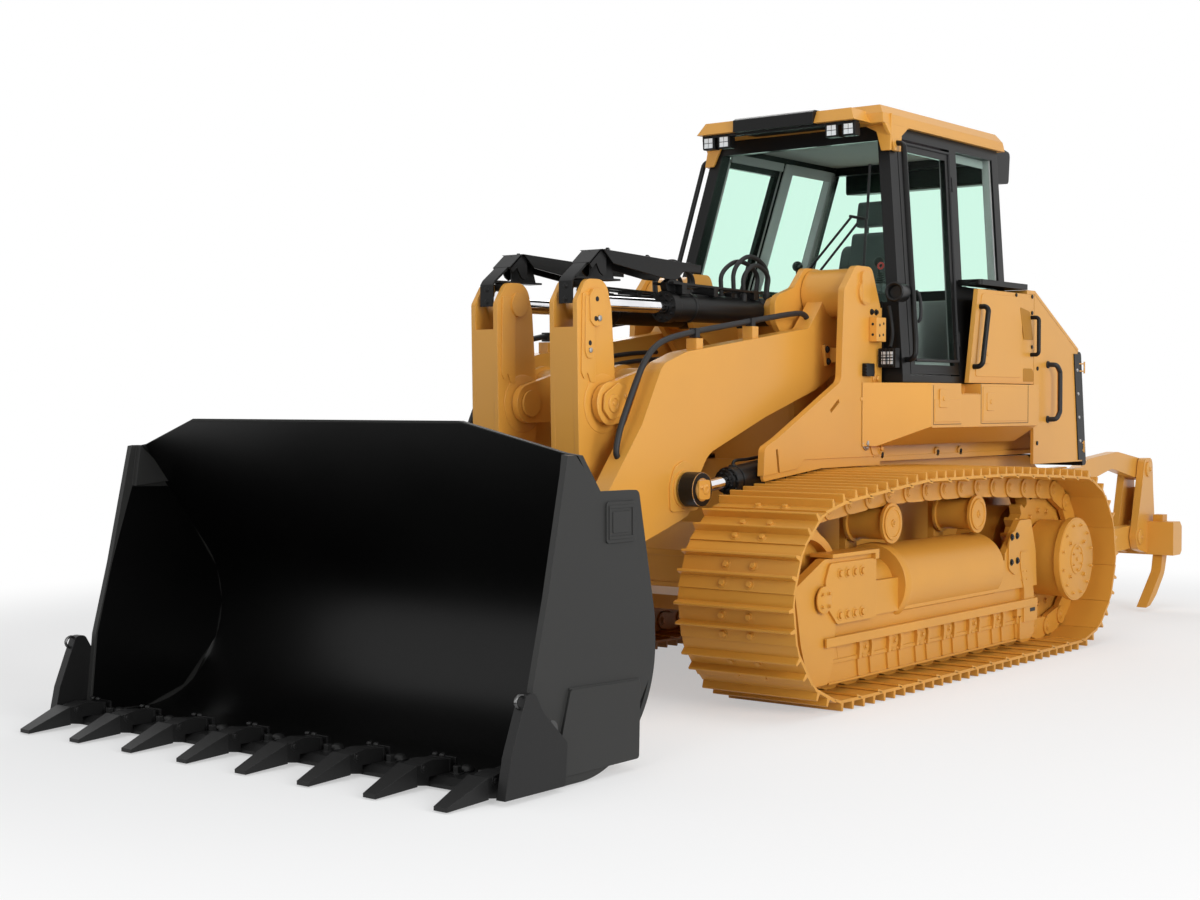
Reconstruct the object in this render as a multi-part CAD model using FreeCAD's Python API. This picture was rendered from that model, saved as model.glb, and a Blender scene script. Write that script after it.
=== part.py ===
"""Track loader: every sub-part as its own solid, in millimetres.

Machine axes: +X forward, +Y to the machine's left, +Z up, ground at Z = 0, centre plane at Y = 0.
The pivots below are in machine axes.  On export everything is moved along X so that the row's
origin is the middle of the machine's length, on the ground and on its centre plane.
"""

import FreeCAD, Part
import math
import os

Vector = FreeCAD.Vector

# ---------------------------------------------------------------- overall
FRONT_END = 4300.0            # tips of the bucket teeth
REAR_END = -4160.0            # rear face of the ripper beam
MIDDLE_X = (FRONT_END + REAR_END) / 2

# ---------------------------------------------------------------- undercarriage
TRACK_GAUGE = 2080.0
SHOE_WIDTH = 675.0
SHOE_COUNT = 40
SHOE_PLATE = 16.0             # thickness of a shoe's plate
PIN_TO_SHOE = 70.0            # track pin centre to the shoe's inner face
GROUSER_HEIGHT = 40.0
PIN_TO_TIP = PIN_TO_SHOE + SHOE_PLATE + GROUSER_HEIGHT
PIN_TO_RAIL = 60.0            # track pin centre to the rail the rollers run on
LINK_INNER = 45.0             # the two link rows, from the track's middle
LINK_OUTER = 100.0
SPROCKET = (-1520.0, 434.0 + PIN_TO_TIP)      # x, z
SPROCKET_RADIUS = 434.0       # to the track pins
IDLER = (1410.0, 420.0 + PIN_TO_TIP)
IDLER_RADIUS = 420.0
CARRIER_X = (-480.0, 550.0)
CARRIER_Z = 885.0
CARRIER_RADIUS = 100.0
TRACK_ROLLERS = 7
ROLLER_RADIUS = 98.0
ROLLER_FRONT_X = 930.0
ROLLER_REAR_X = -960.0
TRACK_Y = TRACK_GAUGE / 2

# ---------------------------------------------------------------- towing and tie-down eyes
TOW_EYE = (1490.0, 660.0)     # x, z of the front towing eye
TOW_EYE_RADIUS = 26.0
TIE_EYE = (-2408.0, 760.0)    # x, z of the rear tie-down eyes
TIE_EYE_RADIUS = 32.0

# ---------------------------------------------------------------- loader linkage pivots (x, z)
ARM_PIVOT = (150.0, 2170.0)
BUCKET_PIVOT = (2650.0, 370.0)
LEVER_PIVOT = (2070.0, 1534.0)
LEVER_TOP = (2110.0, 2045.0)
LEVER_FOOT = (2150.0, 680.0)
LINK_FRONT = (2765.0, 580.0)
LIFT_TAIL = (150.0, 1265.0)
LIFT_EYE = (1660.0, 1095.0)
TILT_TAIL = (450.0, 2060.0)
CROSS_TUBE = (1640.0, 1590.0)

# ---------------------------------------------------------------- loader linkage widths (y)
ARM_INNER_Y = 450.0
ARM_OUTER_Y = 556.0
TOWER_INNER_Y = (376.0, 412.0)
TOWER_OUTER_Y = (712.0, 752.0)
LEVER_Y = 262.0
LIFT_CYLINDER_Y = 632.0
PIN_RADIUS = 45.0
TILT_EYE = 85.0               # radius of the tilt rod's eye
TILT_BARREL = 76.0
TILT_BARREL_LENGTH = 960.0
TILT_BORE = 62.0
TILT_ROD = 38.0
LIFT_BORE = 44.0
LIFT_ROD = 34.0
GLAND_STEP = 8.0              # a gland stands this much proud of its barrel
RUNNING = 0.5                # radial clearance of a running pin
SIDE_GAP = 6.0                # sideways gap between pieces that turn past each other

# ---------------------------------------------------------------- bucket
BUCKET_HALF = 1400.0
BUCKET_WALL = 25.0
BUCKET_BACK = (3560.0, 515.0, 510.0)          # x, z and radius of the rounded back
BUCKET_BACK_END = 142.0                       # degrees, where the arc runs into the spill guard
SPILL_TOP = 1463.0
SIDE_TOP = (3600.0, 1335.0)
BUCKET_SIDE = 30.0            # thickness of the side plates
EDGE_FRONT = 4010.0
EDGE_REAR = 3800.0            # joint between the floor and the cutting edge
EDGE_TOP = 45.0
TOOTH_PITCH = 375.7
TOOTH_COUNT = 8

# ---------------------------------------------------------------- cab
CAB_FLOOR = 1700.0
CAB_TOP = 3200.0
SILL = 2130.0                 # bottom of the windscreen
REAR_SILL = 2280.0
CAB_FRONT = (-80.0, -360.0)   # x at floor and at roof
CAB_SIDE = (880.0, 620.0)     # y at floor and at roof
DOOR_REAR = (-800.0, -1140.0)
CAB_REAR = (-1500.0, -1830.0)
GLASS = 8.0
DOOR_THICK = 34.0
DOOR_GAP = 8.0
DOOR_TOP_GAP = 20.0            # the leaning hinge lifts the door's inner edge as it opens
DOOR_RIM = 55.0
HINGE_PROUD = 8.0              # hinge lines stand this far outside the panels
HINGE_RADIUS = 7.0

# ---------------------------------------------------------------- body work
ENGINE_HINGE = (-2545.0, 936.0)   # x, y of the service doors' upright hinge line
BODY_Y = 930.0
CONSOLE_Y = 970.0
CONSOLE_TOP = 1655.0
HOOD_FRONT_X = -1640.0
SEAM_X = -1745.0
HOOD_PEAK = (-1760.0, 2265.0)
HOOD_REAR = (-2455.0, 1905.0)
HOOD_FOOT = (-2550.0, 1100.0)

# ---------------------------------------------------------------- ripper pivots (x, z)
RIPPER_LOWER_FRONT = (-2700.0, 500.0)
RIPPER_LOWER_REAR = (-3850.0, 540.0)
RIPPER_UPPER_FRONT = (-2850.0, 1000.0)
RIPPER_UPPER_REAR = (-4000.0, 1040.0)
RIPPER_ROD_PIN = (-2800.0, 860.0)
RIPPER_BARREL_PIN = (-3880.0, 640.0)
RIPPER_PIN_RADIUS = 40.0
RIPPER_ROD_PIN_RADIUS = 32.0
RIPPER_LINK_Y = (690.0, 770.0)
RIPPER_TOWER_Y = ((630.0, 684.0), (776.0, 830.0))
RIPPER_CYLINDER_Y = 402.0
RIPPER_LUG_Y = ((320.0, 350.0), (454.0, 484.0))
SHANK_Y = (-900.0, 0.0, 900.0)
SHANK_X = (-4105.0, -4015.0)
SHANK_HALF = 37.0
SLIP = 0.3                    # gap round a piece that slides into a pocket


# ================================================================ shape helpers
def corner_edges(points, to_vector, closed=True):
    """Edges through (a, b) or (a, b, radius) corners; a radius makes a tangent arc there."""
    flat = [Vector(p[0], p[1], 0) for p in points]
    count = len(points)
    spots = []
    for i, point in enumerate(points):
        radius = point[2] if len(point) > 2 else 0.0
        if not radius or (not closed and i in (0, count - 1)):
            spots.append((flat[i], None, flat[i]))
            continue
        before = (flat[i - 1] - flat[i]).normalize()
        after = (flat[(i + 1) % count] - flat[i]).normalize()
        half = before.getAngle(after) / 2
        reach = radius / math.tan(half)
        middle = (before + after).normalize()
        arc_top = flat[i] + middle * (radius / math.sin(half) - radius)
        spots.append((flat[i] + before * reach, arc_top, flat[i] + after * reach))
    edges = []
    for i, (start, arc_top, end) in enumerate(spots):
        if arc_top is not None:
            edges.append(Part.Arc(to_vector(start), to_vector(arc_top), to_vector(end)).toShape())
        if closed or i < count - 1:
            following = spots[(i + 1) % count][0]
            if end.distanceToPoint(following) > 1e-6:
                edges.append(Part.LineSegment(to_vector(end), to_vector(following)).toShape())
    return edges


def face_of(points, to_vector):
    return Part.Face(Part.Wire(corner_edges(points, to_vector)))


def prism_y(points, y_low, y_high):
    """Outline in X and Z, from y_low to y_high."""
    face = face_of(points, lambda v: Vector(v.x, y_low, v.y))
    return face.extrude(Vector(0, y_high - y_low, 0))


def prism_x(points, x_low, x_high):
    """Outline in Y and Z, from x_low to x_high."""
    face = face_of(points, lambda v: Vector(x_low, v.x, v.y))
    return face.extrude(Vector(x_high - x_low, 0, 0))


def prism_z(points, z_low, z_high):
    """Outline in X and Y, from z_low to z_high."""
    face = face_of(points, lambda v: Vector(v.x, v.y, z_low))
    return face.extrude(Vector(0, 0, z_high - z_low))


def block(x_low, x_high, y_low, y_high, z_low, z_high):
    size = (x_high - x_low, y_high - y_low, z_high - z_low)
    return Part.makeBox(*size, Vector(x_low, y_low, z_low))


def disc_y(centre, radius, y_low, y_high):
    """Round bar across the machine, centred on an (x, z) pivot."""
    return Part.makeCylinder(radius, y_high - y_low, Vector(centre[0], y_low, centre[1]), Vector(0, 1, 0))


def bar(start, end, radius):
    """Round bar between two (x, y, z) points."""
    a = Vector(*start)
    b = Vector(*end)
    return Part.makeCylinder(radius, a.distanceToPoint(b), a, b - a)


def rect_at(x_low, x_high, y_low, y_high, z):
    corners = [(x_low, y_low), (x_high, y_low), (x_high, y_high), (x_low, y_high), (x_low, y_low)]
    return Part.makePolygon([Vector(x, y, z) for x, y in corners])


def leaning_box(low, z_low, high, z_high):
    """Solid between two level rectangles, each (x_low, x_high, y_low, y_high)."""
    return Part.makeLoft([rect_at(*low, z_low), rect_at(*high, z_high)], True, True)


def fuse(*shapes):
    return shapes[0].multiFuse(list(shapes[1:])).removeSplitter()


def cut(shape, *tools):
    return shape.cut(Part.makeCompound(list(tools)))


def mirrored(shape):
    return shape.mirror(Vector(0, 0, 0), Vector(0, 1, 0))


def both_sides(shape):
    return Part.makeCompound([shape, mirrored(shape)])


def between(start, end, along):
    """Point on the line from start to end, along millimetres from start."""
    length = math.dist(start, end)
    return tuple(a + (b - a) * along / length for a, b in zip(start, end))


def link_plate(first, second, radius_first, radius_second, y_low, y_high):
    """Flat link with round ends over two (x, z) pivots."""
    length = math.dist(first, second)
    turn = math.atan2(second[1] - first[1], second[0] - first[0])
    side = math.acos((radius_first - radius_second) / length)
    corners = []
    for angle, centre, radius in (
        (turn + side, first, radius_first),
        (turn + side, second, radius_second),
        (turn - side, second, radius_second),
        (turn - side, first, radius_first),
    ):
        corners.append((centre[0] + radius * math.cos(angle), centre[1] + radius * math.sin(angle)))
    body = prism_y(corners, y_low, y_high)
    return fuse(body, disc_y(first, radius_first, y_low, y_high), disc_y(second, radius_second, y_low, y_high))


def bent_tube(points, radius, bend):
    """Round tube along (x, y, z) points, with an arc of radius bend at each inner point."""
    route = [Vector(*p) for p in points]
    edges = []
    start = route[0]
    for here, following in zip(route[1:-1], route[2:]):
        before = (start - here).normalize()
        after = (following - here).normalize()
        half = before.getAngle(after) / 2
        reach = bend / math.tan(half)
        middle = (before + after).normalize()
        arc_top = here + middle * (bend / math.sin(half) - bend)
        edges.append(Part.LineSegment(start, here + before * reach).toShape())
        edges.append(Part.Arc(here + before * reach, arc_top, here + after * reach).toShape())
        start = here + after * reach
    edges.append(Part.LineSegment(start, route[-1]).toShape())
    wire = Part.Wire(edges)
    ring = Part.Wire(Part.makeCircle(radius, route[0], route[1] - route[0]))
    return wire.makePipeShell([ring], True, True)


# ================================================================ track
def belt_segments():
    """Straight runs and arcs of the track's pin line, clockwise seen from the machine's left."""
    around = [
        (SPROCKET, SPROCKET_RADIUS),
        ((CARRIER_X[0], CARRIER_Z), CARRIER_RADIUS + PIN_TO_RAIL),
        ((CARRIER_X[1], CARRIER_Z), CARRIER_RADIUS + PIN_TO_RAIL),
        (IDLER, IDLER_RADIUS),
    ]
    normals = []
    for (c1, r1), (c2, r2) in zip(around, around[1:] + around[:1]):
        length = math.dist(c1, c2)
        along = ((c2[0] - c1[0]) / length, (c2[1] - c1[1]) / length)
        lean = (r1 - r2) / length
        rise = math.sqrt(1 - lean * lean)
        normals.append((along[0] * lean - along[1] * rise, along[1] * lean + along[0] * rise))
    segments = []
    for i, (centre, radius) in enumerate(around):
        start = math.atan2(normals[i - 1][1], normals[i - 1][0])
        sweep = (start - math.atan2(normals[i][1], normals[i][0])) % (2 * math.pi)
        segments.append(("arc", centre, radius, start, sweep, radius * sweep))
        c2, r2 = around[(i + 1) % len(around)]
        first = (centre[0] + radius * normals[i][0], centre[1] + radius * normals[i][1])
        last = (c2[0] + r2 * normals[i][0], c2[1] + r2 * normals[i][1])
        segments.append(("line", first, last, normals[i], None, math.dist(first, last)))
    return segments


BELT = belt_segments()
BELT_LENGTH = sum(segment[5] for segment in BELT)


def on_belt(distance):
    """Point of the pin line, distance millimetres round the belt."""
    left = distance % BELT_LENGTH
    for kind, first, second, third, _, length in BELT:
        if left > length:
            left -= length
            continue
        if kind == "line":
            return between(first, second, left)
        angle = third - left / second
        return (first[0] + second * math.cos(angle), first[1] + second * math.sin(angle))
    return on_belt(0.0)


def belt_outline(profile):
    """Closed outline round the belt: profile holds (along, outward) points of one shoe.

    Each shoe spans two track pins, so its plate is square to the line between them.
    """
    pitch = BELT_LENGTH / SHOE_COUNT
    outline = []
    for i in range(SHOE_COUNT):
        first = on_belt(i * pitch)
        second = on_belt((i + 1) * pitch)
        x, z = (first[0] + second[0]) / 2, (first[1] + second[1]) / 2
        length = math.dist(first, second)
        nx, nz = (first[1] - second[1]) / length, (second[0] - first[0]) / length
        for along, outward in profile:
            outline.append((x + along * nz + outward * nx, z - along * nx + outward * nz))
    return outline


def track():
    half = BELT_LENGTH / SHOE_COUNT / 2
    plate_top = PIN_TO_SHOE + SHOE_PLATE
    shoe = [(-half + 3, plate_top)]
    for grouser in (-half + 16, 14.0):
        shoe.append((grouser, plate_top))
        shoe.append((grouser + 6, PIN_TO_TIP))
        shoe.append((grouser + 18, PIN_TO_TIP))
        shoe.append((grouser + 24, plate_top))
    shoe.append((half - 3, plate_top))
    inside = [(-half + 10, PIN_TO_SHOE), (half - 10, PIN_TO_SHOE)]
    rail = [(-half * 0.78, -PIN_TO_RAIL), (half * 0.78, -PIN_TO_RAIL)]
    y_low = TRACK_Y - SHOE_WIDTH / 2
    y_high = TRACK_Y + SHOE_WIDTH / 2
    shoes = prism_y(belt_outline(shoe), y_low, y_high).cut(prism_y(belt_outline(inside), y_low, y_high))
    rows = []
    for low, high in ((LINK_INNER, LINK_OUTER), (-LINK_OUTER, -LINK_INNER)):
        outer = prism_y(belt_outline([(a, h + 1.0) for a, h in inside]), TRACK_Y + low, TRACK_Y + high)
        rows.append(outer.cut(prism_y(belt_outline(rail), TRACK_Y + low, TRACK_Y + high)))
    return shoes.multiFuse(rows)


def sprocket():
    teeth = 25
    root = SPROCKET_RADIUS - 42
    crown = SPROCKET_RADIUS + 4
    outline = []
    for i in range(teeth):
        for share, radius in ((0.0, root), (0.22, root), (0.42, crown), (0.60, crown), (0.80, root)):
            angle = 2 * math.pi * (i + share) / teeth
            outline.append((SPROCKET[0] + radius * math.cos(angle), SPROCKET[1] + radius * math.sin(angle)))
    ring = prism_y(outline, TRACK_Y - 38, TRACK_Y + 38)
    return cut(ring, disc_y(SPROCKET, 201.0, TRACK_Y - 60, TRACK_Y + 60))


def final_drive():
    housing = disc_y(SPROCKET, 320.0, 641.0, 900.0)
    hub = disc_y(SPROCKET, 200.0, 899.0, 1230.0)
    carrier = disc_y(SPROCKET, 240.0, 1095.0, 1290.0)
    cover = disc_y(SPROCKET, 259.0, 1289.0, 1325.0)
    return fuse(housing, hub, carrier, cover)


def idler():
    chord_rise = IDLER_RADIUS * (1 - math.cos(BELT_LENGTH / SHOE_COUNT / 2 / IDLER_RADIUS))
    rim = disc_y(IDLER, IDLER_RADIUS - chord_rise - PIN_TO_RAIL - 2, TRACK_Y - 105, TRACK_Y + 105)
    flange = disc_y(IDLER, IDLER_RADIUS - 25, TRACK_Y - 38, TRACK_Y + 38)
    hollow = [disc_y(IDLER, 300.0, TRACK_Y + s, TRACK_Y + s + 60) for s in (46, -106)]
    hub = disc_y(IDLER, 120.0, TRACK_Y - 118, TRACK_Y + 118)
    return fuse(cut(fuse(rim, flange), *hollow), hub)


def roller(x, z, radius, flange):
    body = disc_y((x, z), radius, TRACK_Y - 125, TRACK_Y + 125)
    sides = [disc_y((x, z), flange, TRACK_Y + s, TRACK_Y + s + 18) for s in (104, -122)]
    return fuse(body, *sides)


def track_rollers():
    rail_z = PIN_TO_TIP + PIN_TO_RAIL
    step = (ROLLER_FRONT_X - ROLLER_REAR_X) / (TRACK_ROLLERS - 1)
    return [
        roller(ROLLER_REAR_X + i * step, rail_z + ROLLER_RADIUS + 1, ROLLER_RADIUS, ROLLER_RADIUS + 18)
        for i in range(TRACK_ROLLERS)
    ]


def carrier_rollers():
    return [roller(x, CARRIER_Z, CARRIER_RADIUS - 9, CARRIER_RADIUS + 10) for x in CARRIER_X]


def track_frame():
    inner = TRACK_Y - 180
    outer = TRACK_Y + 190
    beam = block(-1040, 985, inner, outer, 420, 600)
    recoil = bar((-620, TRACK_Y + 20, 565), (900, TRACK_Y + 20, 565), 140)
    cap = bar((-670, TRACK_Y + 20, 565), (-619, TRACK_Y + 20, 565), 110)
    fork_outline = [
        (900, 421), (1262, 421), (1290, 200), (1340, 110, 40), (1516, 110, 40), (1600, 330, 60),
        (1660, 620, 40), (1375, 748, 40), (900, 748),
    ]
    forks = [prism_y(fork_outline, outer - 50, outer), prism_y(fork_outline, inner, inner + 45)]
    idler_boss = [disc_y(IDLER, 110, TRACK_Y + 125, outer), disc_y(IDLER, 110, inner, TRACK_Y - 125)]
    hood = block(870, 985, inner, outer, 599, 720)
    arm_outline = [(-700, 420), (-700, 640), (-900, 830, 30), (-1060, 830, 30), (-1130, 640), (-1150, 420)]
    rear_arm = cut(prism_y(arm_outline, outer - 40, outer), disc_y(SPROCKET, 275, 0, 2000))
    posts = [block(x - 60, x + 60, TRACK_Y - 175, TRACK_Y - 135, 599, 960) for x in CARRIER_X]
    axles = [disc_y((x, CARRIER_Z), 50, TRACK_Y - 136, TRACK_Y - 125.5) for x in CARRIER_X]
    return fuse(beam, recoil, cap, *forks, *idler_boss, hood, rear_arm, *posts, *axles)


def roller_guard():
    """Side plates that carry the track rollers, with the outer guard rail."""
    plates = []
    for low, high in ((TRACK_Y + 127, TRACK_Y + 165), (TRACK_Y - 165, TRACK_Y - 127)):
        outline = [(-1080, 200), (1190, 200), (1250, 419), (-1040, 419)]
        plates.append(prism_y(outline, low, high))
    rail = block(-1120, 1240, TRACK_Y + 164, TRACK_Y + 200, 300, 345)
    cross = [block(x - 40, x + 40, TRACK_Y - 128, TRACK_Y + 128, 404, 419) for x in (-800, 0, 800)]
    return fuse(*plates, rail, *cross)


# ================================================================ chassis
def main_frame():
    side = [
        (-2450, 520), (-2450, 1090), (-2300, 1180), (-900, 1200), (30, 1200), (70, 1080),
        (1280, 900), (1450, 760, 60), (1450, 560, 60), (1250, 490),
    ]
    plate = prism_y(side, 600, 640)
    belly = block(-2449, 1250, -600, 600, 490, 515)
    front = block(1405, 1445, -600, 600, 560, 760)
    nose = prism_y([(1250, 490), (1449, 560), (1449, 585), (1250, 515)], -600, 600)
    rear = block(-2450, -2410, -600, 600, 515, 1090)
    deck = prism_y(
        [(-2449, 1085), (-2300, 1175), (-900, 1195), (30, 1195), (65, 1078), (1280, 897), (1449, 758),
         (1449, 725), (1268, 872), (45, 1052), (15, 1168), (-900, 1168), (-2290, 1148), (-2449, 1055)], -600, 600)
    eye_plate = cut(
        prism_y([(1440, 580), (1440, 740), (1530, 710, 60), (1530, 610, 60)], 30, 62),
        disc_y(TOW_EYE, TOW_EYE_RADIUS, 0, 100))
    front_wall = block(-25, 5, -375, 375, 1190, 1715)
    shafts = [bar((-560, s * 638, 520), (-560, s * 859, 520), 90) for s in (1, -1)]
    bolted = [block(-2300, 20, s * 671 - 31, s * 671 + 31, 1195, 1225) for s in (1, -1)]
    eyes = [eye_plate, mirrored(eye_plate)]
    return fuse(plate, mirrored(plate), belly, front, nose, rear, deck, front_wall, *eyes, *shafts, *bolted)


def loader_tower():
    x_pivot, z_pivot = ARM_PIVOT
    outer_low = 1228.0
    outer = [
        (-60, outer_low), (-40, 2100), (60, 2320, 60), (240, 2320, 60), (370, 2180, 40),
        (400, 1660, 60), (1060, 1350), (1190, 1300, 40), (1200, 1150), (860, 1180), (800, outer_low),
    ]
    outer_plate = prism_y(outer, *TOWER_OUTER_Y)
    slots = [
        prism_y([(430, 1560), (520, 1500), (510, 1480), (420, 1540)], 700, 760),
        prism_y([(1060, 1290), (1080, 1290), (1060, 1160), (1040, 1160)], 700, 760),
    ]
    inner = [
        (-60, outer_low), (-40, 2110), (60, 2320, 60), (240, 2320, 60), (360, 2200, 60), (560, 2140, 70),
        (560, 2000, 70), (380, 1820), (330, outer_low),
    ]
    inner_plate = prism_y(inner, *TOWER_INNER_Y)
    foot = block(-60, 30, TOWER_INNER_Y[0], TOWER_OUTER_Y[1], outer_low - 3, outer_low + 22)
    back = block(-60, -30, TOWER_INNER_Y[0], TOWER_OUTER_Y[1], outer_low, 2090)
    lug = prism_y([(-60, 1226), (-60, 1370), (150, 1370, 60), (250, 1300, 60), (230, 1200, 50), (100, 1185, 40),
                   (20, 1226)], 556, 574)
    lift_boss = disc_y(LIFT_TAIL, 75, 680, TOWER_OUTER_Y[0] + 1)
    lift_pin = disc_y(LIFT_TAIL, PIN_RADIUS - 5, 556, 706)
    arm_pin = disc_y(ARM_PIVOT, 70, TOWER_INNER_Y[0], TOWER_OUTER_Y[1] + 14)
    tilt_boss = disc_y(TILT_TAIL, 85, LEVER_Y + 56, TOWER_INNER_Y[0] + 1)
    retainer = prism_y([(x_pivot - 45, z_pivot - 60, 20), (x_pivot + 45, z_pivot - 60, 20),
                        (x_pivot + 45, z_pivot + 120, 30), (x_pivot - 45, z_pivot + 120, 30)], 751, 770)
    plates = cut(fuse(outer_plate, inner_plate, foot, back, lug, lift_boss), *slots)
    return fuse(plates, lift_pin, arm_pin, tilt_boss, retainer)


def tower_crossbeam():
    """Beam between the towers with the inner lugs of the tilt cylinders."""
    beam = block(-30, 60, -TOWER_INNER_Y[0], TOWER_INNER_Y[0], 1720, 1990)
    lug_outline = [(59, 1740), (59, 1985), (330, 2150, 60), (550, 2150, 80), (540, 1975, 80)]
    lugs = []
    for side in (1, -1):
        near = side * (LEVER_Y - 56)
        far = side * (LEVER_Y - 92)
        low, high = min(near, far), max(near, far)
        pin_ends = sorted((side * (LEVER_Y - 92), side * (LEVER_Y + 55)))
        lugs.append(prism_y(lug_outline, low, high))
        lugs.append(disc_y(TILT_TAIL, PIN_RADIUS, *pin_ends))
    return fuse(beam, *lugs)


def console():
    """Closed box beside the cab floor: tank and tool lockers, with a cut-away front and belly."""
    profile = [
        (755, CONSOLE_TOP), (CONSOLE_Y, CONSOLE_TOP), (CONSOLE_Y, 1400), (800, 1290), (755, 1290),
    ]
    box = prism_x(profile, -1740, 280)
    nose = prism_z([(-260, CONSOLE_Y + 1), (300, 690), (300, CONSOLE_Y + 1)], 1200, 1700)
    step = block(-900, -640, CONSOLE_Y - 110, CONSOLE_Y + 1, 1590, 1660)
    return cut(box, nose, step)


def engine_block():
    return block(-2330, -1540, -380, 380, 1201, 1760)


# ================================================================ body work
def rear_line(z):
    """X of the sloping rear face at height z."""
    share = (z - HOOD_FOOT[1]) / (HOOD_REAR[1] - HOOD_FOOT[1])
    return HOOD_FOOT[0] + (HOOD_REAR[0] - HOOD_FOOT[0]) * share


def hood_top():
    outline = [
        (HOOD_FRONT_X, HOOD_PEAK[1]), (HOOD_PEAK[0], HOOD_PEAK[1]), HOOD_REAR,
        (HOOD_REAR[0], HOOD_REAR[1] - 25), (HOOD_PEAK[0], HOOD_PEAK[1] - 25), (HOOD_FRONT_X, HOOD_PEAK[1] - 25),
    ]
    sheet = prism_y(outline, -BODY_Y, BODY_Y)
    wall = block(HOOD_FRONT_X - 25, HOOD_FRONT_X - 5, -BODY_Y + 34, BODY_Y - 34, 1770, HOOD_PEAK[1] - 24)
    return fuse(sheet, wall)


def side_panel():
    """Fixed panel between the cab door and the engine door."""
    outline = [
        (DOOR_REAR[0] - 20, CAB_FLOOR - 40), (DOOR_REAR[0] - 140, HOOD_PEAK[1] - 26),
        (SEAM_X + 3, HOOD_PEAK[1] - 26), (SEAM_X + 3, CAB_FLOOR - 40),
    ]
    return prism_y(outline, BODY_Y - 30, BODY_Y)


def engine_door():
    top_front = (SEAM_X - 3, HOOD_PEAK[1] - 28)
    slope = (HOOD_REAR[1] - HOOD_PEAK[1]) / (HOOD_REAR[0] - HOOD_PEAK[0])
    rear_top = HOOD_REAR[0] + 12
    outline = [
        (SEAM_X - 3, 1140), top_front, (HOOD_PEAK[0], HOOD_PEAK[1] - 28),
        (rear_top, HOOD_PEAK[1] - 28 + slope * (rear_top - HOOD_PEAK[0])),
        (rear_line(1140) + 12, 1140),
    ]
    sheet = prism_y(outline, BODY_Y - 22, BODY_Y)
    handle = bent_tube(
        [(-1960, BODY_Y - 2, 1790), (-1960, BODY_Y + 60, 1790), (-2010, BODY_Y + 60, 1740),
         (-2010, BODY_Y + 60, 1480), (-1960, BODY_Y + 60, 1430), (-1960, BODY_Y - 2, 1430)], 13, 22)
    hinges = []
    for z in (1200, 1740):
        hinges.append(bar((ENGINE_HINGE[0], ENGINE_HINGE[1], z), (ENGINE_HINGE[0], ENGINE_HINGE[1], z + 80), 5.5))
        for level in (z + 15, z + 65):
            hinges.append(bar((ENGINE_HINGE[0], ENGINE_HINGE[1], level),
                              (rear_line(level) + 50, BODY_Y - 2, level), 4.5))
    return fuse(sheet, handle, *hinges)


def rear_grille():
    frame_outline = [
        (rear_line(1110), 1110), (rear_line(1890), 1890), (rear_line(1890) - 55, 1880, 30),
        (rear_line(1110) - 60, 1115, 20),
    ]
    frame = prism_y(frame_outline, -BODY_Y + 4, BODY_Y - 4)
    window = prism_y(
        [(rear_line(1110) + 200, 1180), (rear_line(1890) + 200, 1830), (rear_line(1890) - 250, 1830),
         (rear_line(1110) - 250, 1180)], -BODY_Y + 120, BODY_Y - 120)
    slats = []
    for i in range(12):
        z = 1205 + i * 52
        x = rear_line(z) - 34
        slats.append(prism_y([(x - 14, z - 14), (x + 14, z + 10), (x + 14, z + 18), (x - 14, z - 6)],
                             -BODY_Y + 119, BODY_Y - 119))
    post = [block(rear_line(1500) - 90, rear_line(1500) + 5, s * 270 - 12, s * 270 + 12, 1170, 1840) for s in (-1, 1)]
    post = [p.common(frame) for p in post]
    return fuse(cut(frame, window), *slats, *post)


# ================================================================ cab
def lean(pair, z):
    """Value at height z of something that leans from pair[0] at the floor to pair[1] at the roof."""
    return pair[0] + (pair[1] - pair[0]) * (z - CAB_FLOOR) / (CAB_TOP - CAB_FLOOR)


def upright(x_pair, x_back, y_thick, z_low, z_high):
    """Leaning post on the left wall; its outer face lies in the wall's plane."""
    rects = []
    for z in (z_low, z_high):
        x = lean(x_pair, z)
        y = lean(CAB_SIDE, z)
        rects.append((x - x_back, x, y - y_thick, y))
    return leaning_box(rects[0], z_low, rects[1], z_high)


def level_bar(x_from, x_to, y_thick, z_low, z_high):
    """Rail along the left wall between two leaning stations."""
    rects = []
    for z in (z_low, z_high):
        y = lean(CAB_SIDE, z)
        rects.append((lean(x_from, z), lean(x_to, z), y - y_thick, y))
    return leaning_box(rects[0], z_low, rects[1], z_high)


def cross_wall(x_pair, x_thick, z_low, z_high):
    """Wall across the cab, its front face leaning with x_pair."""
    rects = []
    for z in (z_low, z_high):
        x = lean(x_pair, z)
        y = lean(CAB_SIDE, z)
        rects.append((x - x_thick, x, -y, y))
    return leaning_box(rects[0], z_low, rects[1], z_high)


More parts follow.
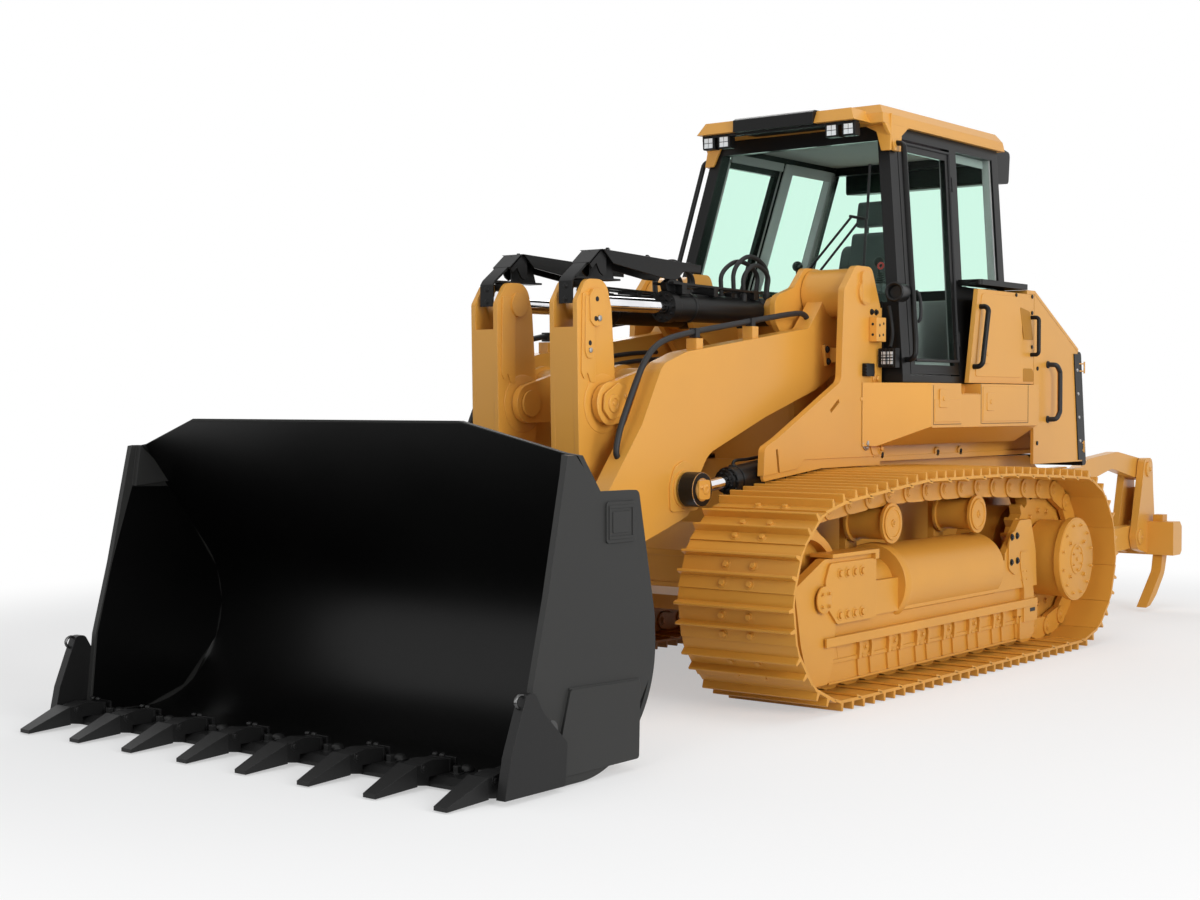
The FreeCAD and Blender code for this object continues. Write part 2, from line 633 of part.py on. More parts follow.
def cab_shell():
    floor = leaning_box((CAB_REAR[0], CAB_FRONT[0], -CAB_SIDE[0], CAB_SIDE[0]), CAB_FLOOR - 40,
                        (CAB_REAR[0], CAB_FRONT[0], -CAB_SIDE[0], CAB_SIDE[0]), CAB_FLOOR)
    front = cross_wall(CAB_FRONT, 40, CAB_FLOOR - 1, SILL)
    rear_wall = cross_wall((CAB_REAR[0] + 40, CAB_REAR[1] + 40), 40, CAB_FLOOR - 1, REAR_SILL)
    side_low = level_bar((CAB_REAR[0] + 5, CAB_REAR[1] + 5), DOOR_REAR, 40, CAB_FLOOR - 1, REAR_SILL - 20)
    a_post = upright(CAB_FRONT, 95, 75, CAB_FLOOR - 1, CAB_TOP)
    b_post = upright(DOOR_REAR, 90, 60, CAB_FLOOR - 1, CAB_TOP)
    c_post = upright((CAB_REAR[0] + 85, CAB_REAR[1] + 85), 85, 70, REAR_SILL - 30, CAB_TOP)
    side_top = level_bar(CAB_REAR, CAB_FRONT, 60, CAB_TOP - 70, CAB_TOP)
    front_top = cross_wall(CAB_FRONT, 60, CAB_TOP - 90, CAB_TOP)
    rear_top = cross_wall((CAB_REAR[0] + 60, CAB_REAR[1] + 60), 60, CAB_TOP - 80, CAB_TOP)
    left = [side_low, a_post, b_post, c_post, side_top]
    return fuse(floor, front, rear_wall, front_top, rear_top, *left, *[mirrored(s) for s in left])


def cab_roof():
    low = (CAB_REAR[1] - 60, CAB_FRONT[1] + 110, -650, 650)
    high = (CAB_REAR[1] - 20, CAB_FRONT[1] + 60, -600, 600)
    skirt = leaning_box(low, CAB_TOP + 0.5, (low[0] + 12, low[1] - 10, -640, 640), CAB_TOP + 62)
    crown = leaning_box((low[0] + 12, low[1] - 10, -640, 640), CAB_TOP + 61, high, CAB_TOP + 115)
    brow = leaning_box((CAB_FRONT[1] + 60, CAB_FRONT[1] + 300, -560, 560), CAB_TOP + 5,
                       (CAB_FRONT[1] + 60, CAB_FRONT[1] + 260, -520, 520), CAB_TOP + 80)
    return fuse(skirt, crown, brow)


def cab_glass():
    z_low, z_high = SILL + 0.5, CAB_TOP - 90.5
    rects = []
    for z in (z_low, z_high):
        x = lean(CAB_FRONT, z) - 10
        y = lean(CAB_SIDE, z) - 75.5
        rects.append((x - GLASS, x, -y, y))
    windscreen = leaning_box(rects[0], z_low, rects[1], z_high)
    rects = []
    z_low, z_high = REAR_SILL + 0.5, CAB_TOP - 80.5
    for z in (z_low, z_high):
        x = lean((CAB_REAR[0] + 30, CAB_REAR[1] + 30), z)
        y = lean(CAB_SIDE, z) - 70.5
        rects.append((x - GLASS, x, -y, y))
    rear = leaning_box(rects[0], z_low, rects[1], z_high)
    sides = []
    rects = []
    z_low, z_high = REAR_SILL - 19, CAB_TOP - 70.5
    for z in (z_low, z_high):
        y = lean(CAB_SIDE, z) - 12
        rects.append((lean((CAB_REAR[0] + 85.5, CAB_REAR[1] + 85.5), z), lean(DOOR_REAR, z) - 90.5, y - GLASS, y))
    sides.append(leaning_box(rects[0], z_low, rects[1], z_high))
    return Part.makeCompound([windscreen, rear, sides[0], mirrored(sides[0])])


def door_rect(z, side_in, y_out, thick):
    y = lean(CAB_SIDE, z) - y_out
    x_rear = lean(DOOR_REAR, z) + DOOR_GAP + side_in
    x_front = lean(CAB_FRONT, z) - 95 - DOOR_GAP - side_in
    return (x_rear, x_front, y - thick, y)


def cab_hinges():
    """Knuckles on the leaning hinge line outside the B post, with arms to the door."""
    def on_line(z):
        return (lean(DOOR_REAR, z) + 2, lean(CAB_SIDE, z) + HINGE_PROUD, z)

    parts = []
    for z in (1880, 2860):
        parts.append(bar(on_line(z), on_line(z + 90), HINGE_RADIUS))
        for level in (z + 20, z + 70):
            x, y, _ = on_line(level)
            parts.append(bar((x, y, level), (x + 36, y - HINGE_PROUD - 5, level), HINGE_RADIUS - 2))
    return parts


def cab_door():
    z_low, z_high = CAB_FLOOR + DOOR_GAP, CAB_TOP - 70 - DOOR_TOP_GAP
    slab = leaning_box(door_rect(z_low, 0, 0, DOOR_THICK), z_low, door_rect(z_high, 0, 0, DOOR_THICK), z_high)
    rim = DOOR_RIM
    hole_low, hole_high = z_low + rim, z_high - rim
    hole = leaning_box(door_rect(hole_low, rim, -40, 160), hole_low, door_rect(hole_high, rim, -40, 160), hole_high)
    return fuse(cut(slab, hole), *cab_hinges())


def door_glass():
    rim = DOOR_RIM + 0.5
    z_low, z_high = CAB_FLOOR + DOOR_GAP + rim, CAB_TOP - 70 - DOOR_TOP_GAP - rim
    return leaning_box(door_rect(z_low, rim, 10, GLASS), z_low, door_rect(z_high, rim, 10, GLASS), z_high)


def operator_seat():
    base = block(-1130, -760, -200, 200, CAB_FLOOR + 0.5, CAB_FLOOR + 260)
    cushion = prism_y([(-1190, 1960), (-1190, 2090, 40), (-660, 2110, 50), (-660, 1960, 30)], -255, 255)
    back = prism_y([(-1150, 2080), (-1290, 2680, 50), (-1390, 2680, 50), (-1270, 2030, 40), (-1160, 2000)], -245, 245)
    head = prism_y([(-1290, 2700), (-1325, 2880, 30), (-1405, 2880, 30), (-1390, 2700)], -140, 140)
    posts = [bar((-1340, s * 70, 2660), (-1345, s * 70, 2730), 9) for s in (-1, 1)]
    arms = [block(-1180, -800, s * 300 - 40, s * 300 + 40, 2230, 2290) for s in (-1, 1)]
    stays = [block(-1180, -1120, min(s * 250, s * 320), max(s * 250, s * 320), 2000, 2231) for s in (-1, 1)]
    return fuse(base, cushion, back, head, *posts, *arms, *stays)


def operator_controls():
    """Pedal console, instrument pod and the two control levers."""
    dash = prism_y([(-420, CAB_FLOOR + 0.5), (-290, CAB_FLOOR + 0.5), (-260, 2090, 30), (-420, 2130, 30)], -150, 150)
    pod = prism_y([(-470, 2125), (-300, 2100), (-300, 2160, 20), (-450, 2250, 20)], -120, 120)
    pedals = [prism_y([(-560, 1730), (-440, 1790), (-400, 1790), (-400, 1770), (-560, 1710)], y - 45, y + 45)
              for y in (240, -240)]
    stalks = [bar((-860, s * 300, 2294), (-835, s * 300, 2400), 14) for s in (-1, 1)]
    knobs = [Part.makeSphere(34, Vector(-832, s * 300, 2425)) for s in (-1, 1)]
    levers = [stalks[i].fuse(knobs[i]) for i in (0, 1)]
    mounts = [block(-440, -419, y - 30, y + 30, CAB_FLOOR + 0.5, 1780) for y in (240, -240)]
    return Part.makeCompound([fuse(dash, pod), *levers, *[pedals[i].fuse(mounts[i]) for i in (0, 1)]])


def roof_rear_box():
    box = prism_y([(-1895, 3000, 20), (-2140, 3020, 30), (-2160, 3230, 30), (-1895, 3270, 20)], -560, 560)
    return box


def grab_rails():
    """Grab tubes along the A post, behind the door and on the side panel."""
    proud = BODY_Y + SLIP
    post = bent_tube(
        [(-150, 840, 1790), (-130, 935, 1790), (-150, 925, 1900), (-375, 720, 3080), (-400, 620, 3100)], 16, 40)
    hoop = bent_tube([(-880, proud, 1760), (-880, 990, 1760), (-965, 990, 2130), (-965, proud, 2130)], 16, 35)
    side = bent_tube([(-1700, proud, 1850), (-1700, 985, 1850), (-1700, 985, 2090), (-1700, proud, 2090)], 13, 22)
    return [cut(post, cab_shell()), hoop, side]


def side_ledge():
    inner = lean(CAB_SIDE, 2266) + SLIP
    return prism_z([(-960, inner), (-960, 940, 20), (-1640, 940, 20), (-1640, inner)], 2266, 2300)


# ================================================================ ripper
def ripper_frame():
    plate = block(-2500, -2450.5, -840, 840, 440, 1085)
    tie = prism_y([(-2460, 690), (-2460, 830), (-2378, 810, 40), (-2350, 760, 30), (-2378, 710, 40)], 660, 690)
    left = [cut(tie, disc_y(TIE_EYE, TIE_EYE_RADIUS, 600, 700))]
    for y_low, y_high in RIPPER_TOWER_Y:
        lower = [(-2499, 400), (-2499, 600), (-2640, 590), (-2790, 560, 60), (-2790, 440, 60), (-2640, 410)]
        upper = [(-2499, 860), (-2499, 1083), (-2850, 1090, 90), (-2945, 1000, 60), (-2850, 912, 60)]
        left.append(prism_y(lower, y_low, y_high))
        left.append(prism_y(upper, y_low, y_high))
    for pin in (RIPPER_LOWER_FRONT, RIPPER_UPPER_FRONT):
        left.append(disc_y(pin, RIPPER_PIN_RADIUS, RIPPER_TOWER_Y[0][0], RIPPER_TOWER_Y[1][1]))
    cylinder_lug = [(-2499, 760), (-2499, 980), (-2800, 940, 60), (-2880, 860, 60), (-2800, 790, 60)]
    for y_low, y_high in RIPPER_LUG_Y:
        left.append(prism_y(cylinder_lug, y_low, y_high))
    return fuse(plate, *left, *[mirrored(s) for s in left])


def ripper_lower_link():
    left = link_plate(RIPPER_LOWER_FRONT, RIPPER_LOWER_REAR, 85, 85, *RIPPER_LINK_Y)
    bores = [disc_y(p, RIPPER_PIN_RADIUS + RUNNING, 600, 860) for p in (RIPPER_LOWER_FRONT, RIPPER_LOWER_REAR)]
    left = cut(left, *bores)
    tie = block(-3320, -3220, -700, 700, 470, 570)
    return fuse(left, mirrored(left), tie)


def ripper_upper_links():
    low, high = RIPPER_LINK_Y
    outline = [(-2850, 930), (-3130, 1000, 100), (-3450, 1060, 200), (-4000, 960),
               (-4000, 1120), (-3550, 1180, 200), (-3030, 1140, 150), (-2850, 1070)]
    link = fuse(prism_y(outline, low, high), disc_y(RIPPER_UPPER_FRONT, 78, low, high),
                disc_y(RIPPER_UPPER_REAR, 82, low, high))
    bores = [disc_y(p, RIPPER_PIN_RADIUS + RUNNING, 600, 860) for p in (RIPPER_UPPER_FRONT, RIPPER_UPPER_REAR)]
    return cut(link, *bores)


def ripper_beam():
    """Tool beam with the towers of the four-bar linkage, the cylinder lugs and the shank pockets."""
    beam = prism_y([(-3985, 400), (-3985, 650), (-4120, 650, 20), (REAR_END, 610, 20), (REAR_END, 430, 20),
                    (-4130, 400, 20)], -1030, 1030)
    tower = [(-3800, 450, 60), (-3765, 540, 60), (-3800, 640, 60), (-3900, 1000, 60), (-3930, 1125, 50),
             (-4080, 1125, 60), (-4100, 900, 60), (-4135, 640), (-4135, 420), (-3980, 410)]
    lug = [(-3990, 480), (-3990, 645), (-3930, 705, 40), (-3850, 705, 50), (-3815, 640, 50), (-3860, 575, 60)]
    left = [block(-4095, -4075, RIPPER_TOWER_Y[0][1] - 1, RIPPER_TOWER_Y[1][0] + 1, 645, 900)]
    for y_low, y_high in RIPPER_TOWER_Y:
        left.append(prism_y(tower, y_low, y_high))
    for pin in (RIPPER_LOWER_REAR, RIPPER_UPPER_REAR):
        left.append(disc_y(pin, RIPPER_PIN_RADIUS, RIPPER_TOWER_Y[0][0], RIPPER_TOWER_Y[1][1]))
    for y_low, y_high in RIPPER_LUG_Y:
        left.append(prism_y(lug, y_low, y_high))
    left.append(disc_y(RIPPER_BARREL_PIN, RIPPER_ROD_PIN_RADIUS, RIPPER_LUG_Y[0][0], RIPPER_LUG_Y[1][1]))
    whole = fuse(beam, *left, *[mirrored(s) for s in left])
    pockets = []
    for y in SHANK_Y:
        half = SHANK_HALF + SLIP
        pockets.append(block(SHANK_X[0] - SLIP, SHANK_X[1] + SLIP, y - half, y + half, 399, 651))
    return cut(whole, *pockets)


def ripper_shanks():
    rear, front = SHANK_X
    outline = [
        (rear, 700), (front, 700), (front, 397), (-3985, 280, 60), (-3860, 170, 60), (-3700, 30),
        (-3780, 40, 20), (-3900, 110, 60), (-4060, 260, 200), (rear, 390),
    ]
    return [prism_y(outline, y - SHANK_HALF, y + SHANK_HALF) for y in SHANK_Y]


# ================================================================ lift arms
def lift_arm():
    x_pivot, z_pivot = ARM_PIVOT
    outline = [
        (x_pivot - 10, z_pivot + 110, 60), (330, 2060, 120), (430, 1960, 60), (1628, 1801, 300), (1835, 1735, 120),
        (2010, 1430, 200), (2290, 1100, 500), (2640, 600, 300), (2800, 420, 60), (2760, 240, 120), (2560, 230, 120),
        (2300, 480, 250), (2040, 830, 150), (1790, 900, 150), (1600, 960, 80), (1540, 1120, 120), (1430, 1270, 200),
        (880, 1460, 300), (360, 1610, 150), (90, 1730, 60), (10, 2080, 60),
    ]
    plate = prism_y(outline, ARM_INNER_Y, ARM_OUTER_Y)
    hub = disc_y(ARM_PIVOT, 140, TOWER_INNER_Y[1] + SIDE_GAP, TOWER_OUTER_Y[0] - SIDE_GAP)
    eye_boss = disc_y(LIFT_EYE, 100, ARM_OUTER_Y - 1, ARM_OUTER_Y + 18)
    foot = disc_y(BUCKET_PIVOT, 130, ARM_INNER_Y - 5, ARM_OUTER_Y + 5)
    solid = fuse(plate, hub, eye_boss, foot)
    bores = [disc_y(ARM_PIVOT, 70 + RUNNING, 300, 800), disc_y(BUCKET_PIVOT, PIN_RADIUS + RUNNING, 300, 800)]
    return cut(solid, *bores)


def arm_cross_tube():
    """Tube between the arms with a pair of brackets round each tilt lever."""
    tube = disc_y(CROSS_TUBE, 130, -ARM_INNER_Y, ARM_INNER_Y)
    brackets = []
    for side in (1, -1):
        for a, b in ((101, 136), (-136, -101)):
            y_low, y_high = sorted((side * (LEVER_Y + a), side * (LEVER_Y + b)))
            plate = link_plate(CROSS_TUBE, LEVER_PIVOT, 150, 100, y_low, y_high)
            brackets.append(plate)
    bores = [disc_y(LEVER_PIVOT, PIN_RADIUS + RUNNING, *sorted((s * 100, s * 430))) for s in (1, -1)]
    return cut(fuse(tube, *brackets), *bores)


# ================================================================ bucket
def back_arc(offset, angle):
    x, z, radius = BUCKET_BACK
    turn = math.radians(angle)
    return (x + (radius - offset) * math.cos(turn), z + (radius - offset) * math.sin(turn))


def shell_line(offset):
    """Corner points of the bucket's back, offset inwards, from the cutting edge to the spill guard."""
    turn = math.radians(BUCKET_BACK_END)
    start = back_arc(offset, BUCKET_BACK_END)
    rise = SPILL_TOP - start[1]
    slope = (math.sin(turn), -math.cos(turn))
    end = (start[0] + slope[0] * rise / slope[1], SPILL_TOP)
    floor = (EDGE_REAR, BUCKET_BACK[1] - BUCKET_BACK[2] + offset)
    return floor, back_arc(offset, 270), start, end


def shell_face(offset, corners, y_low):
    """Face between one line of the shell and the corners that close it, from spill guard to floor."""
    floor, low, start, end = shell_line(offset)
    middle = back_arc(offset, (270 + BUCKET_BACK_END) / 2)

    def at(point):
        return Vector(point[0], y_low, point[1])

    edges = [Part.LineSegment(at(floor), at(low)).toShape()]
    edges.append(Part.Arc(at(low), at(middle), at(start)).toShape())
    for first, second in zip([start, end, *corners], [end, *corners, floor]):
        edges.append(Part.LineSegment(at(first), at(second)).toShape())
    return Part.Face(Part.Wire(edges))


def bucket_side():
    """Side plate with its wear plate, blank pad and the gusset behind the spill guard."""
    half = BUCKET_HALF
    outline = [
        (3790, 40), (3560, 7), (3300, 78, 200), (3075, 400, 220), (3052, 620, 200), (3168, 1173, 30),
        (3440, 1175, 60), (*SIDE_TOP, 20), (3640, 1335, 15), (3770, 760, 200), (3860, 420, 60), (3900, 40),
    ]
    wear = [(3185, 45, 15), (3175, 375, 20), (3640, 390, 20), (3700, 200), (3700, 45)]
    pad = [(3200, 960, 15), (3200, 1130, 15), (3400, 1130, 15), (3400, 960, 15)]
    gusset = [(3400, 1150), (3610, 1330), (3640, 1130)]
    return [
        prism_y(outline, half - BUCKET_SIDE, half),
        prism_y(wear, half - 1, half + 14),
        prism_y(pad, half - 1, half + 8),
        prism_y(gusset, half - 60, half - BUCKET_SIDE + 1),
    ]


def bucket_ears(inside):
    """Plates behind the bucket: outer pairs take the arms, inner pairs take the tilt links."""
    arm_ear = [(3330, 110), (3080, 140), (2700, 240), (2540, 300, 60), (2540, 440, 60), (2650, 500, 60),
               (3110, 760), (3330, 700)]
    x, z = LINK_FRONT
    link_ear = [(3330, 260), (3060, 350), (x + 30, z - 110, 60), (x - 95, z - 40, 60), (x - 60, z + 100, 60),
                (x + 60, z + 115, 60), (3160, 850), (3330, 800)]
    arm_y = ((ARM_INNER_Y - 46, ARM_INNER_Y - 11), (ARM_OUTER_Y + 11, ARM_OUTER_Y + 46))
    link_y = ((LEVER_Y + 62, LEVER_Y + 94), (LEVER_Y - 94, LEVER_Y - 62))
    ears = [prism_y(arm_ear, *pair) for pair in arm_y] + [prism_y(link_ear, *pair) for pair in link_y]
    arm_bore = disc_y(BUCKET_PIVOT, PIN_RADIUS + RUNNING, ARM_INNER_Y - 70, ARM_OUTER_Y + 84)
    link_bore = disc_y(LINK_FRONT, PIN_RADIUS + RUNNING, LEVER_Y - 110, LEVER_Y + 110)
    return [cut(ear, inside, arm_bore, link_bore) for ear in ears]


def bucket_shell():
    half = BUCKET_HALF
    corner = (EDGE_REAR, SPILL_TOP)
    filled = shell_face(0, [corner], -half + 1).extrude(Vector(0, 2 * half - 2, 0))
    hollow = shell_face(BUCKET_WALL, [corner], -half).extrude(Vector(0, 2 * half, 0))
    inside = shell_face(BUCKET_WALL - 1, [corner], -half).extrude(Vector(0, 2 * half, 0))
    skin = cut(filled, hollow)
    trims = []
    for side in (1, -1):
        outline = [(side * 845, SPILL_TOP + 1), (side * (half + 5), SPILL_TOP + 1),
                   (side * (half + 5), SIDE_TOP[1] - 10), (side * 1329, SIDE_TOP[1])]
        trims.append(prism_x(outline, 3000, 4000))
    left = bucket_side() + bucket_ears(inside)
    strips = [block(x, x + 50, -half + 40, half - 40, 0, 6.5) for x in (3480, 3600)]
    return cut(fuse(skin, *left, *[mirrored(s) for s in left], *strips), *trims)


def cutting_edge():
    rear = EDGE_REAR + SLIP
    profile = [(rear, 5), (rear, EDGE_TOP), (3960, EDGE_TOP), (EDGE_FRONT, 24), (EDGE_FRONT, 8), (3990, 2), (3830, 2)]
    half = BUCKET_HALF - BUCKET_SIDE - SLIP
    return prism_y(profile, -half, half)


def tooth(y):
    """Adapter that straddles the edge, with its pointed tip."""
    front = EDGE_FRONT + SLIP
    low = EDGE_TOP + SLIP
    adapter = prism_y([(3860, low), (3885, 98, 15), (3990, 112, 20), (4085, 95), (4085, 22), (front, 10),
                       (front, low)], y - 45, y + 45)
    tip_profile = [rect_x(4084, y, 52, 18, 104), rect_x(FRONT_END, y, 34, 4, 20)]
    tip = Part.makeLoft(tip_profile, True, True)
    return fuse(adapter, tip)


def rect_x(x, y, half_width, z_low, z_high):
    corners = [(-1, z_low), (1, z_low), (1, z_high), (-1, z_high), (-1, z_low)]
    return Part.makePolygon([Vector(x, y + side * half_width, z) for side, z in corners])


def corner_guard():
    half = BUCKET_HALF
    outline = [(3715, 20), (3700, 190, 20), (3850, 330, 30), (3900, 414, 30), (3950, 414, 30), (3985, 330, 30),
               (4045, 180, 40), (4080, 20)]
    return prism_y(outline, half + 0.5, half + 46)


# ================================================================ tilt linkage
def pin_with_heads(centre, y_low, y_high, head):
    """Pin across the machine with a flat keeper on each end."""
    shaft = disc_y(centre, PIN_RADIUS, y_low, y_high)
    keepers = [disc_y(centre, head, y_low - 12, y_low), disc_y(centre, head, y_high, y_high + 12)]
    return fuse(shaft, *keepers)


def lever():
    outline = [
        (LEVER_TOP[0] - 115, LEVER_TOP[1] - 30, 60), (LEVER_TOP[0] - 70, LEVER_TOP[1] + 115, 90),
        (LEVER_TOP[0] + 90, LEVER_TOP[1] + 110, 60), (LEVER_TOP[0] + 165, LEVER_TOP[1], 30),
        (LEVER_PIVOT[0] + 195, LEVER_PIVOT[1] - 40, 300), (LEVER_FOOT[0] + 90, LEVER_FOOT[1] - 20, 60),
        (LEVER_FOOT[0] + 20, LEVER_FOOT[1] - 95, 60), (LEVER_FOOT[0] - 85, LEVER_FOOT[1] - 40, 60),
        (LEVER_PIVOT[0] - 120, LEVER_PIVOT[1] - 60, 200),
    ]
    plates = [prism_y(outline, LEVER_Y + low, LEVER_Y + high) for low, high in ((62, 88), (-88, -62))]
    front = prism_y(
        [(LEVER_TOP[0] + 138, LEVER_TOP[1] - 130), (LEVER_TOP[0] + 163, LEVER_TOP[1] - 130),
         (LEVER_PIVOT[0] + 194, LEVER_PIVOT[1] - 38), (LEVER_PIVOT[0] + 184, LEVER_PIVOT[1] - 330),
         (LEVER_PIVOT[0] + 157, LEVER_PIVOT[1] - 330), (LEVER_PIVOT[0] + 168, LEVER_PIVOT[1] - 40)],
        LEVER_Y - 63, LEVER_Y + 63)
    boss = disc_y(LEVER_PIVOT, 95, LEVER_Y - 95, LEVER_Y + 95)
    end_boss = []
    for low, high in ((87, 104), (-104, -87)):
        end_boss.append(disc_y(LEVER_TOP, 62, LEVER_Y + low, LEVER_Y + high))
        end_boss.append(disc_y(LEVER_FOOT, 62, LEVER_Y + low, LEVER_Y + high))
    solid = fuse(*plates, front, boss, *end_boss)
    return cut(solid, disc_y(LEVER_PIVOT, PIN_RADIUS + RUNNING, LEVER_Y - 120, LEVER_Y + 120))


def bucket_link():
    link = link_plate(LEVER_FOOT, LINK_FRONT, 85, 80, LEVER_Y - 50, LEVER_Y + 50)
    return cut(link, disc_y(LINK_FRONT, PIN_RADIUS + RUNNING, LEVER_Y - 60, LEVER_Y + 60))


# ================================================================ cylinders
def cylinder_barrel(tail, eye, y, tail_radius, tail_half, pin, radius, start, length, bore, rod):
    """Barrel from its tail eye; start and length are measured from the tail pin."""
    def spot(along):
        x, z = between(tail, eye, along)
        return (x, y, z)

    tail_eye = disc_y(tail, tail_radius, y - tail_half, y + tail_half)
    neck = bar(spot(tail_radius * 0.6), spot(start + 5), radius * 0.6)
    body = bar(spot(start), spot(length), radius)
    gland = bar(spot(length - 40), spot(length + 20), radius + GLAND_STEP)
    inside = bar(spot(start + 60), spot(length - 45), bore)
    mouth = bar(spot(length - 46), spot(length + 30), rod + 2)
    return cut(fuse(tail_eye, neck, body, gland), inside, mouth, disc_y(tail, pin + RUNNING, y - 100, y + 100))


def tilt_piston():
    """Ring that slides in the tilt barrel, with the rod through it."""
    near = between(TILT_TAIL, LEVER_TOP, 400)
    far = between(TILT_TAIL, LEVER_TOP, 560)
    ends = (near[0], LEVER_Y, near[1]), (far[0], LEVER_Y, far[1])
    return cut(bar(*ends, TILT_BORE - SLIP), bar(*ends, TILT_ROD + SLIP))


def cylinder_rod(tail, eye, y, radius, start, eye_radius, eye_half):
    x, z = between(tail, eye, start)
    return fuse(
        bar((x, y, z), (eye[0], y, eye[1]), radius),
        disc_y(eye, eye_radius, y - eye_half, y + eye_half),
    )


def lift_rod():
    rod = cylinder_rod(LIFT_TAIL, LIFT_EYE, LIFT_CYLINDER_Y, LIFT_ROD, 160, 88, 46)
    pin_end = disc_y(LIFT_EYE, 50, LIFT_CYLINDER_Y - 51, LIFT_CYLINDER_Y - 45)
    cap = prism_y([(LIFT_EYE[0] - 45, LIFT_EYE[1] - 45, 20), (LIFT_EYE[0] + 45, LIFT_EYE[1] - 45, 20),
                   (LIFT_EYE[0] + 45, LIFT_EYE[1] + 45, 20), (LIFT_EYE[0] - 45, LIFT_EYE[1] + 45, 20)],
                  LIFT_CYLINDER_Y + 45, LIFT_CYLINDER_Y + 60)
    return fuse(rod, pin_end, cap)


def rod_guard():
    """Hood over the tilt rod's eye, on a stem from the eye, with a channel back over the rod."""
    x, z = LEVER_TOP
    y = LEVER_Y
    tail, peak, brow, chin, low = (
        (x - 680, z + 190), (x - 60, z + 268), (x + 190, z + 170), (x + 270, z + 120), (x + 262, z + 20))
    under = [(low[0] - 12, low[1]), (chin[0] - 12, chin[1] - 8), (brow[0] - 6, brow[1] - 13),
             (peak[0], peak[1] - 13), (tail[0], tail[1] - 12)]
    channel = prism_y([tail, peak, brow, chin, low] + under, y - 60, y + 60)
    hood = prism_y([peak, brow, chin, low] + under[:4], y - 118, y + 118)
    cheek = [(peak[0] + 1, peak[1] - 6), (brow[0] - 3, brow[1] - 6), (chin[0] - 6, chin[1] - 4),
             (low[0] - 8, low[1] - 30, 12), (x + 130, z + 125), (x - 20, z + 150), (x - 130, z + 190, 10)]
    flange = [(peak[0] - 3, peak[1] - 6), (tail[0] + 3, tail[1] - 6), (tail[0] + 3, tail[1] - 42), (x - 125, z + 200)]
    sides = [prism_y(cheek, y + side - 5, y + side + 5) for side in (-111, 111)]
    sides += [prism_y(flange, y + side - 5, y + side + 5) for side in (-53, 53)]
    stem = prism_y([(x - 45, z + 60), (x + 45, z + 60), (x + 45, z + 220), (x - 45, z + 255)], y - 45, y + 45)
    eye = disc_y((x, z), TILT_EYE + SLIP, 0, 2 * y)
    return cut(fuse(channel, hood, *sides, stem), eye)


def barrel_guard():
    """Rails and bracket on top of the tilt barrel."""
    x = TILT_TAIL[0]
    z = TILT_TAIL[1]
    y = LEVER_Y
    bracket = prism_y([(x + 830, z + 60), (x + 960, z + 60), (x + 985, z + 115), (x + 930, z + 146),
                       (x + 850, z + 130)], y - 20, y + 20)
    rail = [prism_y([(x + 110, z + 96), (x + 980, z + 110), (x + 980, z + 122), (x + 110, z + 108)],
                    y + low, y + high) for low, high in ((-70, -40), (40, 70))]
    feet = [block(x + a, x + a + 40, y - 70, y + 70, z + 60, z + 112) for a in (160, 560, 860)]
    step = between(TILT_TAIL, LEVER_TOP, TILT_BARREL_LENGTH - 41)
    end = between(TILT_TAIL, LEVER_TOP, TILT_BARREL_LENGTH + 60)
    barrel = bar((x, y, z), (step[0], y, step[1]), TILT_BARREL + SLIP)
    gland = bar((step[0], y, step[1]), (end[0], y, end[1]), TILT_BARREL + GLAND_STEP + SLIP)
    return cut(fuse(bracket, *rail, *feet), barrel, gland)


